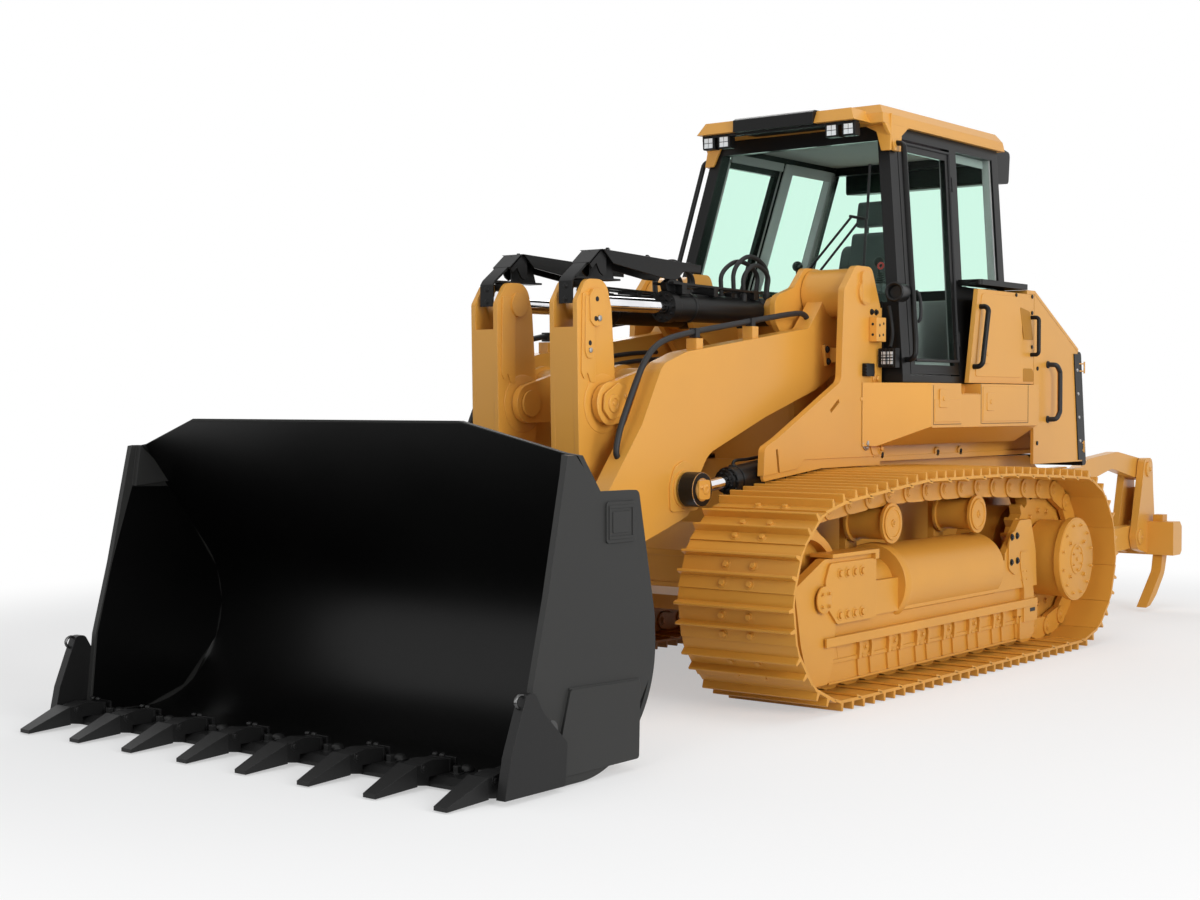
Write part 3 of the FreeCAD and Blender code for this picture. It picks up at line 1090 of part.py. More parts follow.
# ================================================================ export
def main():
    parts = {
        "track_left": track(),
        "track_right": mirrored(track()),
        "sprockets": both_sides(sprocket()),
        "final_drives": both_sides(final_drive()),
        "front_idlers": both_sides(idler()),
        "track_rollers": both_sides(Part.makeCompound(track_rollers())),
        "carrier_rollers": both_sides(Part.makeCompound(carrier_rollers())),
        "track_frame_left": track_frame(),
        "track_frame_right": mirrored(track_frame()),
        "roller_guards": both_sides(roller_guard()),
        "main_frame": main_frame(),
        "equalizer_bar": block(900, 1020, -859, 859, 380, 489),
        "loader_tower_left": loader_tower(),
        "loader_tower_right": mirrored(loader_tower()),
        "tower_crossbeam": tower_crossbeam(),
        "side_consoles": both_sides(console()),
        "engine_block": engine_block(),
        "hood_top": hood_top(),
        "side_panels": both_sides(side_panel()),
        "engine_door_left": engine_door(),
        "engine_door_right": mirrored(engine_door()),
        "rear_grille": rear_grille(),
        "cab_shell": cab_shell(),
        "cab_roof": cab_roof(),
        "cab_glass": cab_glass(),
        "cab_door_left": cab_door(),
        "cab_door_right": mirrored(cab_door()),
        "door_glass_left": door_glass(),
        "door_glass_right": mirrored(door_glass()),
        "operator_seat": operator_seat(),
        "operator_controls": operator_controls(),
        "roof_rear_box": roof_rear_box(),
        "grab_rails": both_sides(Part.makeCompound(grab_rails())),
        "side_ledges": both_sides(side_ledge()),
        "ripper_frame": ripper_frame(),
        "ripper_lower_link": ripper_lower_link(),
        "ripper_upper_links": both_sides(ripper_upper_links()),
        "ripper_beam": ripper_beam(),
        "ripper_shanks": Part.makeCompound(ripper_shanks()),
        "ripper_barrels": both_sides(cylinder_barrel(
            RIPPER_BARREL_PIN, RIPPER_ROD_PIN, RIPPER_CYLINDER_Y, 62, 46, RIPPER_ROD_PIN_RADIUS, 58, 75, 700, 44,
            28)),
        "ripper_rods": both_sides(cylinder_rod(
            RIPPER_BARREL_PIN, RIPPER_ROD_PIN, RIPPER_CYLINDER_Y, 28, 400, 50, 46)),
        "lift_arm_left": lift_arm(),
        "lift_arm_right": mirrored(lift_arm()),
        "arm_cross_tube": arm_cross_tube(),
        "bucket_hinge_pins": both_sides(pin_with_heads(
            BUCKET_PIVOT, ARM_INNER_Y - 50, ARM_OUTER_Y + 50, 70)),
        "bucket_shell": bucket_shell(),
        "cutting_edge": cutting_edge(),
        "bucket_teeth": Part.makeCompound(
            [tooth((i - (TOOTH_COUNT - 1) / 2) * TOOTH_PITCH) for i in range(TOOTH_COUNT)]),
        "corner_guards": both_sides(corner_guard()),
        "lever_pins": both_sides(pin_with_heads(LEVER_PIVOT, LEVER_Y - 140, LEVER_Y + 140, 68)),
        "tilt_levers": both_sides(lever()),
        "link_pins": both_sides(pin_with_heads(LINK_FRONT, LEVER_Y - 98, LEVER_Y + 98, 62)),
        "bucket_links": both_sides(bucket_link()),
        "lift_barrels": both_sides(cylinder_barrel(
            LIFT_TAIL, LIFT_EYE, LIFT_CYLINDER_Y, 78, 42, PIN_RADIUS - 5, 54, 90, 1230, LIFT_BORE, LIFT_ROD)),
        "lift_rods": both_sides(lift_rod()),
        "tilt_barrels": both_sides(cylinder_barrel(
            TILT_TAIL, LEVER_TOP, LEVER_Y, 82, 50, PIN_RADIUS, TILT_BARREL, 105, TILT_BARREL_LENGTH,
            TILT_BORE, TILT_ROD)),
        "tilt_pistons": both_sides(tilt_piston()),
        "tilt_rods": both_sides(cylinder_rod(TILT_TAIL, LEVER_TOP, LEVER_Y, TILT_ROD, 340, TILT_EYE, 48)),
        "rod_guards": both_sides(rod_guard()),
        "barrel_guards": both_sides(barrel_guard()),
    }
    os.makedirs("parts", exist_ok=True)
    for name, shape in parts.items():
        placed = shape.copy()
        placed.translate(Vector(-MIDDLE_X, 0, 0))
        placed.exportStep("parts/" + name + ".step")


main()
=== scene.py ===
"""Looks of the track loader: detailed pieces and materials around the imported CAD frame.

Everything is in metres in the row frame: +X forward, +Y to the machine's left, +Z up.  Places on the machine are
written from the loader's own datum, as (x, z) or (x, z, y), and at() turns them into the row frame.
"""

import bmesh
import bpy
import math
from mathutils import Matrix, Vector


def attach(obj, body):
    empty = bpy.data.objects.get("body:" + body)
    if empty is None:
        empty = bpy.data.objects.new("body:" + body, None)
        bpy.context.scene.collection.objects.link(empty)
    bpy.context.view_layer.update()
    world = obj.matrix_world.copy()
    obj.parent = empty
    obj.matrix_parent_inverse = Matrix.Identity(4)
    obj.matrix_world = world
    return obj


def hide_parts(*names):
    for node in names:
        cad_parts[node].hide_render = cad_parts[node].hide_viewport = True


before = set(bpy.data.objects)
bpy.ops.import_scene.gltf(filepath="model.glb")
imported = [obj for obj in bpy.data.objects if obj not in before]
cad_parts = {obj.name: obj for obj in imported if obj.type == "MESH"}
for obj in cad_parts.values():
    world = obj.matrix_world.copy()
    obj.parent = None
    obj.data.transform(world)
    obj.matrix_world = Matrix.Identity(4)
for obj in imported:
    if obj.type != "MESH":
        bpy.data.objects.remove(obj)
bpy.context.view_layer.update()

DATUM_X = 0.070               # the row frame's origin lies this far ahead of the loader's datum

# pivots of the loader linkage, (x, z) from the datum
ARM_PIVOT = (0.150, 2.170)
BUCKET_PIVOT = (2.650, 0.370)
LEVER_PIVOT = (2.070, 1.534)
LEVER_TOP = (2.110, 2.045)
LEVER_FOOT = (2.150, 0.680)
LIFT_TAIL = (0.150, 1.265)
LIFT_EYE = (1.660, 1.095)
TILT_TAIL = (0.450, 2.060)

# outer faces, and middle planes of the tilt levers, lift cylinders and tracks
LEVER_Y = 0.262
ARM_OUTER_Y = 0.556
LIFT_CYLINDER_Y = 0.632
TOWER_OUTER_Y = 0.752
BODY_Y = 0.930
CONSOLE_Y = 0.970
TRACK_Y = 1.040
TRACK_FRAME_Y = 1.230
FINAL_DRIVE_Y = 1.325
ROLLER_PLATE_Y = 1.203        # just inside the outer face of the plate that hides the rollers

# axis of the recoil drum
RECOIL_Y, RECOIL_Z = 1.060, 0.565

# track belt: (x, z, radius of the pin line)
SPROCKET = (-1.520, 0.560, 0.434)
CARRIERS = ((-0.480, 0.885, 0.160), (0.550, 0.885, 0.160))
IDLER = (1.410, 0.546, 0.420)
ROLLER_XS = [-0.960 + i * 0.315 for i in range(7)]

SHARP_ANGLE = math.radians(32)  # edges that turn further than this aren't shaded smooth
BEVEL_ANGLE = math.radians(35)

AHEAD, BACK, OUT, UP = (1, 0, 0), (-1, 0, 0), (0, 1, 0), (0, 0, 1)
SIDES = (("left", 1), ("right", -1))


def at(x, z, y):
    """Place on the machine, from the loader's datum, as a point of the row frame."""
    return Vector((x - DATUM_X, y, z))


# ---------------------------------------------------------------- collecting solids into a mesh
def new_object(name, data):
    made = bpy.data.objects.new(name, data)
    bpy.context.scene.collection.objects.link(made)
    return made


def rounded(outline, radius, steps):
    """Outline with its corners rounded."""
    points = []
    for i, corner in enumerate(outline):
        here = Vector(corner)
        before = Vector(outline[i - 1]) - here
        after = Vector(outline[(i + 1) % len(outline)]) - here
        reach = min(radius, before.length * 0.45, after.length * 0.45)
        first = here + before.normalized() * reach
        last = here + after.normalized() * reach
        for k in range(steps + 1):
            t = k / steps
            point = first * (1 - t) ** 2 + here * 2 * t * (1 - t) + last * t * t
            points.append((point.x, point.y))
    return points


def disc(radius, height, top=0.0, tip=0.0):
    """Profile of a disc, with a bevel up to top, where its radius is tip."""
    return [(0.0, radius), (height, radius)] + ([(top, tip)] if top else [])


def moved(outline, centre):
    return [(centre[0] + x, centre[1] + z) for x, z in outline]


def square(a, b):
    """Outline round the origin, of two half sides."""
    return [(-a, -b), (a, -b), (a, b), (-a, b)]


def axes(direction):
    """The direction and two directions across it."""
    axis = Vector(direction).normalized()
    across = axis.orthogonal().normalized()
    return axis, across, axis.cross(across)


def circle(centre, across, other, radius, count, shift=0.0):
    """Points round a centre, in the plane of two directions."""
    angles = [2 * math.pi * (i + shift) / count for i in range(count)]
    return [centre + (across * math.cos(a) + other * math.sin(a)) * radius for a in angles]


def smooth_line(points, samples):
    """Points along the smooth curve that follows a route."""
    curve = bpy.data.curves.new("route", "CURVE")
    curve.dimensions = "3D"
    spline = curve.splines.new("NURBS")
    spline.points.add(len(points) - 1)
    for point, place in zip(spline.points, points):
        point.co = (*place, 1.0)
    spline.order_u = 3
    spline.use_endpoint_u = True
    spline.resolution_u = samples
    holder = new_object("route", curve)
    bpy.context.view_layer.update()
    line = bpy.data.meshes.new_from_object(holder.evaluated_get(bpy.context.evaluated_depsgraph_get()))
    places = [v.co.copy() for v in line.vertices]
    bpy.data.objects.remove(holder)
    bpy.data.curves.remove(curve)
    bpy.data.meshes.remove(line)
    return places


class Piece:
    """Simple solids joined into one named mesh."""

    def __init__(self):
        self.mesh = bmesh.new()

    def solid(self, rings, closed=True):
        """Skin between rings of equal length, capped at both ends unless it closes on itself."""
        loops = [[self.mesh.verts.new(p) for p in ring] for ring in rings]
        count = len(loops[0])
        for low, high in zip(loops, loops[1:]):
            for i in range(count):
                j = (i + 1) % count
                self.mesh.faces.new((low[i], low[j], high[j], high[i]))
        if closed:
            self.mesh.faces.new(tuple(reversed(loops[0])))
            self.mesh.faces.new(tuple(loops[-1]))

    def prism(self, outline, low, high, radius=0.0, steps=2):
        """Outline of (x, z) places from y low to y high, its corners rounded by the radius."""
        if radius:
            outline = rounded(outline, radius, steps)
        self.solid([[at(x, z, y) for x, z in outline] for y in (low, high)])

    def prism_pair(self, outline, near, far, radius, steps=2):
        """The same prism on both sides of the centre plane."""
        self.prism(outline, near, far, radius, steps)
        self.prism(outline, -far, -near, radius, steps)

    def box(self, x_low, x_high, y_low, y_high, z_low, z_high):
        self.prism([(x_low, z_low), (x_high, z_low), (x_high, z_high), (x_low, z_high)], y_low, y_high)

    def lathe(self, start, direction, profile, sides):
        """Round solid: profile holds (distance along the direction, radius)."""
        axis, across, other = axes(direction)
        self.solid([circle(Vector(start) + axis * along, across, other, radius, sides) for along, radius in profile])

    def cap(self, x, z, y, profile, sides):
        """Round solid that faces out of a side face."""
        self.lathe(at(x, z, y), OUT, profile, sides)

    def ring(self, start, direction, inner, outer, length, sides=32):
        """Hollow collar round an axis, from start along the direction."""
        axis, across, other = axes(direction)
        edge = min(0.004, length / 4)
        section = [(0.0, inner), (0.0, outer - edge), (edge, outer), (length - edge, outer), (length, outer - edge),
                   (length, inner)]
        arms = circle(Vector(), across, other, 1.0, sides)
        self.solid([[Vector(start) + axis * reach + arm * radius for reach, radius in section]
                    for arm in arms + arms[:1]], closed=False)

    def bar(self, start, end, radius, sides=8):
        gap = Vector(end) - Vector(start)
        self.lathe(start, gap, disc(radius, gap.length), sides)

    def bolt(self, start, direction, radius, height=0.014):
        """Hexagon head on a washer."""
        self.lathe(start, direction, disc(radius * 1.5, 0.004), 16)
        self.lathe(start, direction, [(0.003, radius), (height, radius), (height + 0.002, radius * 0.85)], 6)

    def side_bolt(self, x, z, y, radius, height=0.014):
        self.bolt(at(x, z, y), OUT, radius, height)

    def bolt_circle(self, centre, y, radius, count, size):
        """Bolts on a side face, round a centre that starts with (x, z)."""
        for place in circle(at(centre[0], centre[1], y), Vector(AHEAD), Vector(UP), radius, count, 0.5):
            self.bolt(place, OUT, size)

    def tube(self, points, radius, sides=10, samples=8):
        """Smooth round tube along points in the row frame."""
        places = smooth_line(points, samples)
        rings = []
        across = None
        for i, place in enumerate(places):
            ahead = (places[min(i + 1, len(places) - 1)] - places[max(i - 1, 0)]).normalized()
            if across is None:
                across = ahead.orthogonal().normalized()
            across = (across - ahead * across.dot(ahead)).normalized()
            rings.append(circle(place, across, ahead.cross(across), radius, sides))
        self.solid(rings)

    def both(self):
        """Adds the mirror image across the machine's centre plane."""
        fresh = bmesh.ops.duplicate(self.mesh, geom=self.mesh.verts[:] + self.mesh.faces[:])["geom"]
        for part in fresh:
            if isinstance(part, bmesh.types.BMVert):
                part.co.y = -part.co.y
        bmesh.ops.reverse_faces(self.mesh, faces=[part for part in fresh if isinstance(part, bmesh.types.BMFace)])
        return self

    def done(self, name, material, bevel=0.0, body="chassis"):
        """Makes the object, its edges bevelled when a width is given, riding on a body and carrying its material."""
        bmesh.ops.recalc_face_normals(self.mesh, faces=self.mesh.faces)
        data = bpy.data.meshes.new(name)
        self.mesh.to_mesh(data)
        self.mesh.free()
        data.polygons.foreach_set("use_smooth", [True] * len(data.polygons))
        data.set_sharp_from_angle(angle=SHARP_ANGLE)
        data.materials.append(material)
        piece = new_object(name, data)
        if bevel:
            edge = piece.modifiers.new("edge", "BEVEL")
            edge.width = bevel
            edge.segments = 2
            edge.limit_method = "ANGLE"
            edge.angle_limit = BEVEL_ANGLE
            edge.harden_normals = True
        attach(piece, body)
        return piece


# ---------------------------------------------------------------- materials
def node(tree, kind, **inputs):
    """Shader node with some inputs set; an underscore stands for a space in an input's name."""
    made = tree.nodes.new("ShaderNode" + kind)
    for name, value in inputs.items():
        made.inputs[name.replace("_", " ")].default_value = value
    return made


def shader(name, colour, rough, metal=0.0):
    material = bpy.data.materials.new(name)
    material.use_nodes = True
    surface = material.node_tree.nodes["Principled BSDF"]
    surface.inputs["Base Color"].default_value = (*colour, 1.0)
    surface.inputs["Roughness"].default_value = rough
    surface.inputs["Metallic"].default_value = metal
    surface.inputs["Coat Roughness"].default_value = 0.12
    return material, material.node_tree, surface


def textured(name, colour, rough, patches, grain, edge=0.0, metal=0.0):
    """Material with slow patches (scale, spread of colour, spread of gloss), a fine grain (scale, strength) and
    edges rounded by the given radius."""
    material, tree, surface = shader(name, colour, rough, metal)
    link = tree.links.new
    place = tree.nodes.new("ShaderNodeTexCoord").outputs["Object"]
    scale, spread, gloss_spread = patches
    noise = node(tree, "TexNoise", Scale=scale, Detail=6.0)
    link(place, noise.inputs["Vector"])
    ramp = node(tree, "ValToRGB")
    for element, position, factor in zip(ramp.color_ramp.elements, (0.3, 0.7), (1 - spread, 1 + spread)):
        element.position = position
        element.color = (*[min(1.0, c * factor) for c in colour], 1.0)
    link(noise.outputs["Fac"], ramp.inputs["Fac"])
    link(ramp.outputs["Color"], surface.inputs["Base Color"])
    gloss = node(tree, "MapRange", To_Min=rough - gloss_spread, To_Max=rough + gloss_spread)
    link(noise.outputs["Fac"], gloss.inputs["Value"])
    link(gloss.outputs["Result"], surface.inputs["Roughness"])
    fine = node(tree, "TexNoise", Scale=grain[0], Detail=3.0)
    link(place, fine.inputs["Vector"])
    bump = node(tree, "Bump", Strength=grain[1], Distance=0.001)
    link(fine.outputs["Fac"], bump.inputs["Height"])
    if edge:
        soften = node(tree, "Bevel", Radius=edge)
        soften.samples = 4
        link(soften.outputs["Normal"], bump.inputs["Normal"])
    link(bump.outputs["Normal"], surface.inputs["Normal"])
    return material, surface


def painted(name, colour, rough, spread, edge, bump, gleam=0.5):
    material, surface = textured(name, colour, rough, (1.7, spread, 0.05), (240.0, bump), edge)
    surface.inputs["Specular IOR Level"].default_value = gleam
    return material


def plain_metal(name, colour, rough):
    return textured(name, colour, rough, (6.0, 0.08, 0.04), (300.0, 0.08), metal=1.0)[0]


YELLOW = painted("yellow_paint", (0.680, 0.325, 0.052), 0.34, 0.03, 0.004, 0.08)
YELLOW_CAST = painted("yellow_cast", (0.620, 0.288, 0.038), 0.42, 0.05, 0.003, 0.30, 0.4)
# darker copy of the yellow paint: painted shade for the hollows in the side panel
YELLOW_PAINTED_SHADE = painted("yellow_painted_shade", (0.420, 0.190, 0.022), 0.60, 0.05, 0.0, 0.30, 0.3)
BLACK = painted("black_paint", (0.007, 0.007, 0.007), 0.34, 0.10, 0.003, 0.10, 0.20)
BUCKET_OUT = painted("bucket_paint", (0.024, 0.024, 0.023), 0.55, 0.06, 0.004, 0.30, 0.28)
# much darker copy of the bucket paint for the bucket's inside: painted shade
BUCKET_PAINTED_SHADE = painted("bucket_painted_shade", (0.0012, 0.0012, 0.0012), 0.34, 0.10, 0.0, 0.12, 0.24)
EDGE_BLACK = painted("edge_black", (0.010, 0.010, 0.010), 0.40, 0.10, 0.003, 0.20, 0.25)
STEEL = plain_metal("pin_steel", (0.42, 0.41, 0.40), 0.35)
STEEL_DARK = plain_metal("worn_steel", (0.10, 0.10, 0.10), 0.38)
CHROME = plain_metal("chrome_rod", (0.86, 0.86, 0.88), 0.07)
RUBBER = painted("rubber", (0.014, 0.014, 0.014), 0.60, 0.10, 0.0, 0.25, 0.25)
PLASTIC = painted("dark_plastic", (0.018, 0.018, 0.019), 0.50, 0.08, 0.0, 0.25, 0.30)
LINING = painted("cab_lining", (0.37, 0.32, 0.34), 0.70, 0.05, 0.0, 0.2)
ENGINE = painted("engine_cast", (0.30, 0.22, 0.06), 0.6, 0.1, 0.0, 0.4)
# near-black for the console's door seams, which are dark joints, and for discs of painted shade in holes and ports
SEAM_BLACK_AND_HOLE_SHADE = painted("seam_black_and_hole_shade", (0.006, 0.006, 0.006), 0.8, 0.05, 0.0, 0.1)
FABRIC, weave = textured("seat_fabric", (0.045, 0.046, 0.05), 0.85, (9.0, 0.12, 0.05), (900.0, 0.5))
weave.inputs["Sheen Weight"].default_value = 0.3
GLASS, _, pane_surface = shader("tinted_glass", (0.80, 0.97, 0.89), 0.0)
pane_surface.inputs["Transmission Weight"].default_value = 1.0
pane_surface.inputs["IOR"].default_value = 1.03
LENS, _, lens_surface = shader("lamp_lens", (0.82, 0.86, 0.88), 0.08)
lens_surface.inputs["Coat Weight"].default_value = 0.6
RED, _, _ = shader("red_knob", (0.55, 0.02, 0.02), 0.35)

# CAD nodes with another material than the yellow paint
NODE_MATERIALS = (
    (BLACK, "cab_shell cab_door_left cab_door_right roof_rear_box grab_rails rear_grille lift_barrels tilt_barrels "
            "ripper_barrels rod_guards barrel_guards side_ledges"),
    (BUCKET_OUT, "bucket_shell"),
    (EDGE_BLACK, "cutting_edge bucket_teeth corner_guards"),
    (STEEL, "tilt_pistons"),
    (CHROME, "lift_rods tilt_rods ripper_rods"),
    (GLASS, "cab_glass door_glass_left door_glass_right"),
    (YELLOW_CAST, "sprockets final_drives front_idlers track_rollers carrier_rollers track_frame_left "
                  "track_frame_right roller_guards ripper_shanks equalizer_bar"),
    (ENGINE, "engine_block"),
    (PLASTIC, "operator_controls"),
    (FABRIC, "operator_seat"),
)


def finish_nodes():
    """Gives each CAD node its material."""
    chosen = {name: material for material, names in NODE_MATERIALS for name in names.split()}
    for name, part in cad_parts.items():
        part.data.materials.clear()
        part.data.materials.append(chosen.get(name, YELLOW))


# ---------------------------------------------------------------- tracks
SHOE_COUNT = 40
SHOE_HALF = 0.3375
PIN_TO_SHOE = 0.070           # from the pin line out to the shoe's plate
PLATE_TOP = PIN_TO_SHOE + 0.016
PIN_TO_TIP = 0.126
PIN_TO_RAIL = 0.060
LINK_BOSS = 0.056
LIP_FOOT = 0.056              # a lip of each shoe reaches under its neighbour


def belt_runs():
    """Arcs and straight runs of the pin line round one track, clockwise seen from the left."""
    around = [SPROCKET, *CARRIERS, IDLER]
    normals = []
    for (x1, z1, r1), (x2, z2, r2) in zip(around, around[1:] + around[:1]):
        gap = math.hypot(x2 - x1, z2 - z1)
        along = ((x2 - x1) / gap, (z2 - z1) / gap)
        lean = (r1 - r2) / gap
        rise = math.sqrt(1 - lean * lean)
        normals.append((along[0] * lean - along[1] * rise, along[1] * lean + along[0] * rise))
    runs = []
    for i, (x, z, radius) in enumerate(around):
        start = math.atan2(normals[i - 1][1], normals[i - 1][0])
        sweep = (start - math.atan2(normals[i][1], normals[i][0])) % (2 * math.pi)
        runs.append(("arc", (x, z, radius, start), radius * sweep))
        x2, z2, r2 = around[(i + 1) % len(around)]
        nx, nz = normals[i]
        first = (x + radius * nx, z + radius * nz)
        last = (x2 + r2 * nx, z2 + r2 * nz)
        runs.append(("line", (first, last), math.dist(first, last)))
    return runs


def belt_pins():
    """Places of the track pins round the belt."""
    runs = belt_runs()
    pitch = sum(length for _, _, length in runs) / SHOE_COUNT
    pins = []
    for i in range(SHOE_COUNT):
        left = i * pitch
        for kind, shape, length in runs:
            if left > length:
                left -= length
                continue
            if kind == "line":
                (x1, z1), (x2, z2) = shape
                t = left / length
                pins.append((x1 + (x2 - x1) * t, z1 + (z2 - z1) * t))
            else:
                x, z, radius, start = shape
                angle = start - left / radius
                pins.append((x + radius * math.cos(angle), z + radius * math.sin(angle)))
            break
    return pins


def arc_points(centre, radius, start, end, steps):
    """Points of an arc between two angles in degrees."""
    angles = [math.radians(start + (end - start) * k / steps) for k in range(steps + 1)]
    return [(centre[0] + radius * math.cos(a), centre[1] + radius * math.sin(a)) for a in angles]


def shoe_outline(half):
    """Grouser shoe seen from the side: (along, outward) from the middle of the pin line."""
    points = [(-half + 0.010, PIN_TO_SHOE), (-half - 0.040, LIP_FOOT), (-half - 0.042, LIP_FOOT + 0.011),
              (-half - 0.006, PLATE_TOP - 0.006), (-half + 0.006, PLATE_TOP)]
    for foot in (-half + 0.016, 0.014):
        points += [(foot, PLATE_TOP), (foot + 0.005, PIN_TO_TIP - 0.003), (foot + 0.008, PIN_TO_TIP),
                   (foot + 0.016, PIN_TO_TIP), (foot + 0.019, PIN_TO_TIP - 0.003), (foot + 0.024, PLATE_TOP)]
    return points + [(half - 0.003, PLATE_TOP), (half - 0.003, PLATE_TOP - 0.004), (half - 0.010, PIN_TO_SHOE)]


def link_outlines(half):
    """Body of a track link and its pin boss, (along, outward)."""
    body = arc_points((-half, 0.0), LINK_BOSS * 0.9, 250, 120, 6)
    body += [(-half * 0.45, PIN_TO_SHOE), (half * 0.45, PIN_TO_SHOE)]
    body += arc_points((half, 0.0), LINK_BOSS * 0.9, 60, -70, 6)
    body += [(half * 0.62, -PIN_TO_RAIL), (-half * 0.62, -PIN_TO_RAIL)]
    return body, arc_points((0.0, 0.0), LINK_BOSS, 0, 342, 19)


def build_track(name, middle):
    """Shoes, links, pins and bolts of the track whose middle plane is y = middle."""
    pins = belt_pins()
    track = Piece()
    for (x1, z1), (x2, z2) in zip(pins, pins[1:] + pins[:1]):
        length = math.dist((x1, z1), (x2, z2))
        half = length / 2
        tx, tz = (x2 - x1) / length, (z2 - z1) / length
        nx, nz = -tz, tx

        def placed(points):
            return [((x1 + x2) / 2 + a * tx + n * nx, (z1 + z2) / 2 + a * tz + n * nz) for a, n in points]

        def spot(along, outward, y):
            (x, z), = placed([(along, outward)])
            return at(x, z, middle + y)

        def link(points, row, near, far):
            track.prism(placed(points), *sorted((middle + row * near, middle + row * far)))

        track.prism(placed(shoe_outline(half)), middle - SHOE_HALF, middle + SHOE_HALF)
        body, boss = link_outlines(half)
        # a link on each side: body, pin bosses, cap of the pin and bolts of the shoe
        for row in (-1, 1):
            link(body, row, 0.056, 0.090)
            link(moved(boss, (-half, 0.0)), row, 0.045, 0.071)
            link(moved(boss, (half, 0.0)), row, 0.073, 0.100)
            track.lathe(spot(half, 0.0, row * 0.098), (0, row, 0),
                        [(0.0, 0.030), (0.006, 0.030), (0.006, 0.022), (0.010, 0.020)], 14)
            for along in (-0.027, 0.068):
                track.bolt(spot(along, PLATE_TOP - 0.001, row * 0.080), (nx, 0, nz), 0.017)
        track.bar(spot(-half, 0.0, -0.050), spot(-half, 0.0, 0.050), 0.034, 14)
    piece = track.done(name + "_chain", YELLOW_CAST)
    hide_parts(name)


# ---------------------------------------------------------------- undercarriage
def undercarriage():
    trim = Piece()
    face, plate = TRACK_FRAME_Y, ROLLER_PLATE_Y
    # bolted cover ahead, with the shelf over it
    cover = [(0.87, 0.410), (1.270, 0.410), (1.300, 0.440), (1.385, 0.520), (1.385, 0.640), (1.340, 0.725),
             (0.87, 0.725)]
    trim.prism(cover, face - 0.002, face + 0.014, 0.018, 3)
    for z in (0.668, 0.455):
        for k in range(4):
            trim.side_bolt(1.245 - 0.075 * k, z, face + 0.013, 0.019)
    trim.box(0.86, 1.335, 1.120, 1.256, 0.752, 0.772)
    trim.box(0.86, 0.90, 1.226, 1.256, 0.720, 0.754)
    # recoil drum, its end flanges and the round cover on top of it
    trim.lathe(at(0.872, RECOIL_Z, RECOIL_Y), BACK, [(0.0, 0.150), (0.016, 0.158), (0.030, 0.158), (0.034, 0.150)], 40)
    trim.lathe(at(-0.612, RECOIL_Z, RECOIL_Y), BACK, [(0.0, 0.146), (0.012, 0.150), (0.026, 0.150), (0.030, 0.120)], 40)
    trim.lathe(at(0.36, 0.697, 1.045), (0, 0.12, 1), [(0.0, 0.088), (0.014, 0.088), (0.016, 0.074), (0.026, 0.074),
                                                      (0.030, 0.060), (0.030, 0.036), (0.044, 0.034)], 28)
    trim.lathe(at(-0.640, 0.560, 1.064), AHEAD, [(0.0, 0.176), (0.030, 0.206), (1.180, 0.206), (1.186, 0.218),
                                                 (1.240, 0.218), (1.250, 0.212)], 56)
    # plates behind the drum
    arm_plate = [(-0.735, 0.545), (-0.735, 0.700), (-0.775, 0.760), (-0.850, 0.775), (-0.885, 0.720), (-0.885, 0.560),
                 (-0.835, 0.500)]
    trim.prism(arm_plate, face - 0.002, face + 0.010, 0.025, 3)
    end_plate = [(-0.905, 0.560), (-0.905, 0.640), (-1.010, 0.640), (-1.060, 0.520), (-1.100, 0.360), (-1.100, 0.130),
                 (-1.050, 0.104), (-0.900, 0.104), (-0.900, 0.240), (-0.960, 0.262), (-0.960, 0.400)]
    trim.prism(end_plate, 1.200, face + 0.006, 0.014)
    for x in (-0.94, -0.99):
        for z in (0.520, 0.470):
            trim.side_bolt(x, z, face, 0.008, 0.008)
    # lip of the guard rail, and the roller guard's strip and end blocks
    trim.box(-1.120, 1.385, 1.236, 1.250, 0.300, 0.347)
    trim.box(-1.060, 1.330, plate, plate + 0.009, 0.204, 0.224)
    trim.box(-1.125, -0.935, plate, 1.246, 0.210, 0.330)
    trim.box(-0.945, -0.860, plate, 1.236, 0.250, 0.330)
    # side plate that hides the rollers, with its lower lip, ribs and bolts
    trim.prism([(-1.050, 0.106), (-1.100, 0.305), (1.360, 0.305), (1.300, 0.106)], 1.196, 1.204)
    trim.box(-1.050, 1.300, 1.196, 1.214, 0.100, 0.112)
    toe = [(-0.012, 0.206), (0.018, 0.206), (0.006, 0.116), (-0.014, 0.116)]
    rib = [(-0.018, 0.301), (0.020, 0.301), (0.010, 0.270), (0.018, 0.205), (-0.008, 0.205), (-0.016, 0.262)]
    for x in ROLLER_XS:
        for shift in (-0.060, 0.068):
            trim.prism(moved(toe, (x + shift, 0.0)), plate, plate + 0.013)
            trim.prism(moved(rib, (x + shift, 0.0)), plate, plate + 0.023)
        trim.cap(x, 0.262, plate + 0.001, disc(0.046, 0.008, 0.010, 0.040), 20)
        trim.side_bolt(x, 0.262, plate + 0.010, 0.013, 0.010)
        for shift in (-0.030, 0.030):
            trim.side_bolt(x + shift, 0.214, plate + 0.008, 0.006, 0.006)
    # final drive cover, and the sprocket's bolts
    x, z, _ = SPROCKET
    face = FINAL_DRIVE_Y
    trim.cap(x, z, face - 0.002, disc(0.252, 0.004, 0.006, 0.248), 64)
    trim.cap(x, z, face + 0.003, [(0.0, 0.096), (0.006, 0.096), (0.008, 0.090), (0.008, 0.084), (0.003, 0.082)], 40)
    for radius, count, size in ((0.066, 6, 0.007), (0.145, 4, 0.011), (0.218, 12, 0.008)):
        trim.bolt_circle(SPROCKET, face + 0.003, radius, count, size)
    trim.side_bolt(x, z, face + 0.003, 0.012, 0.010)
    trim.bolt_circle(SPROCKET, 1.078, 0.300, 15, 0.015)
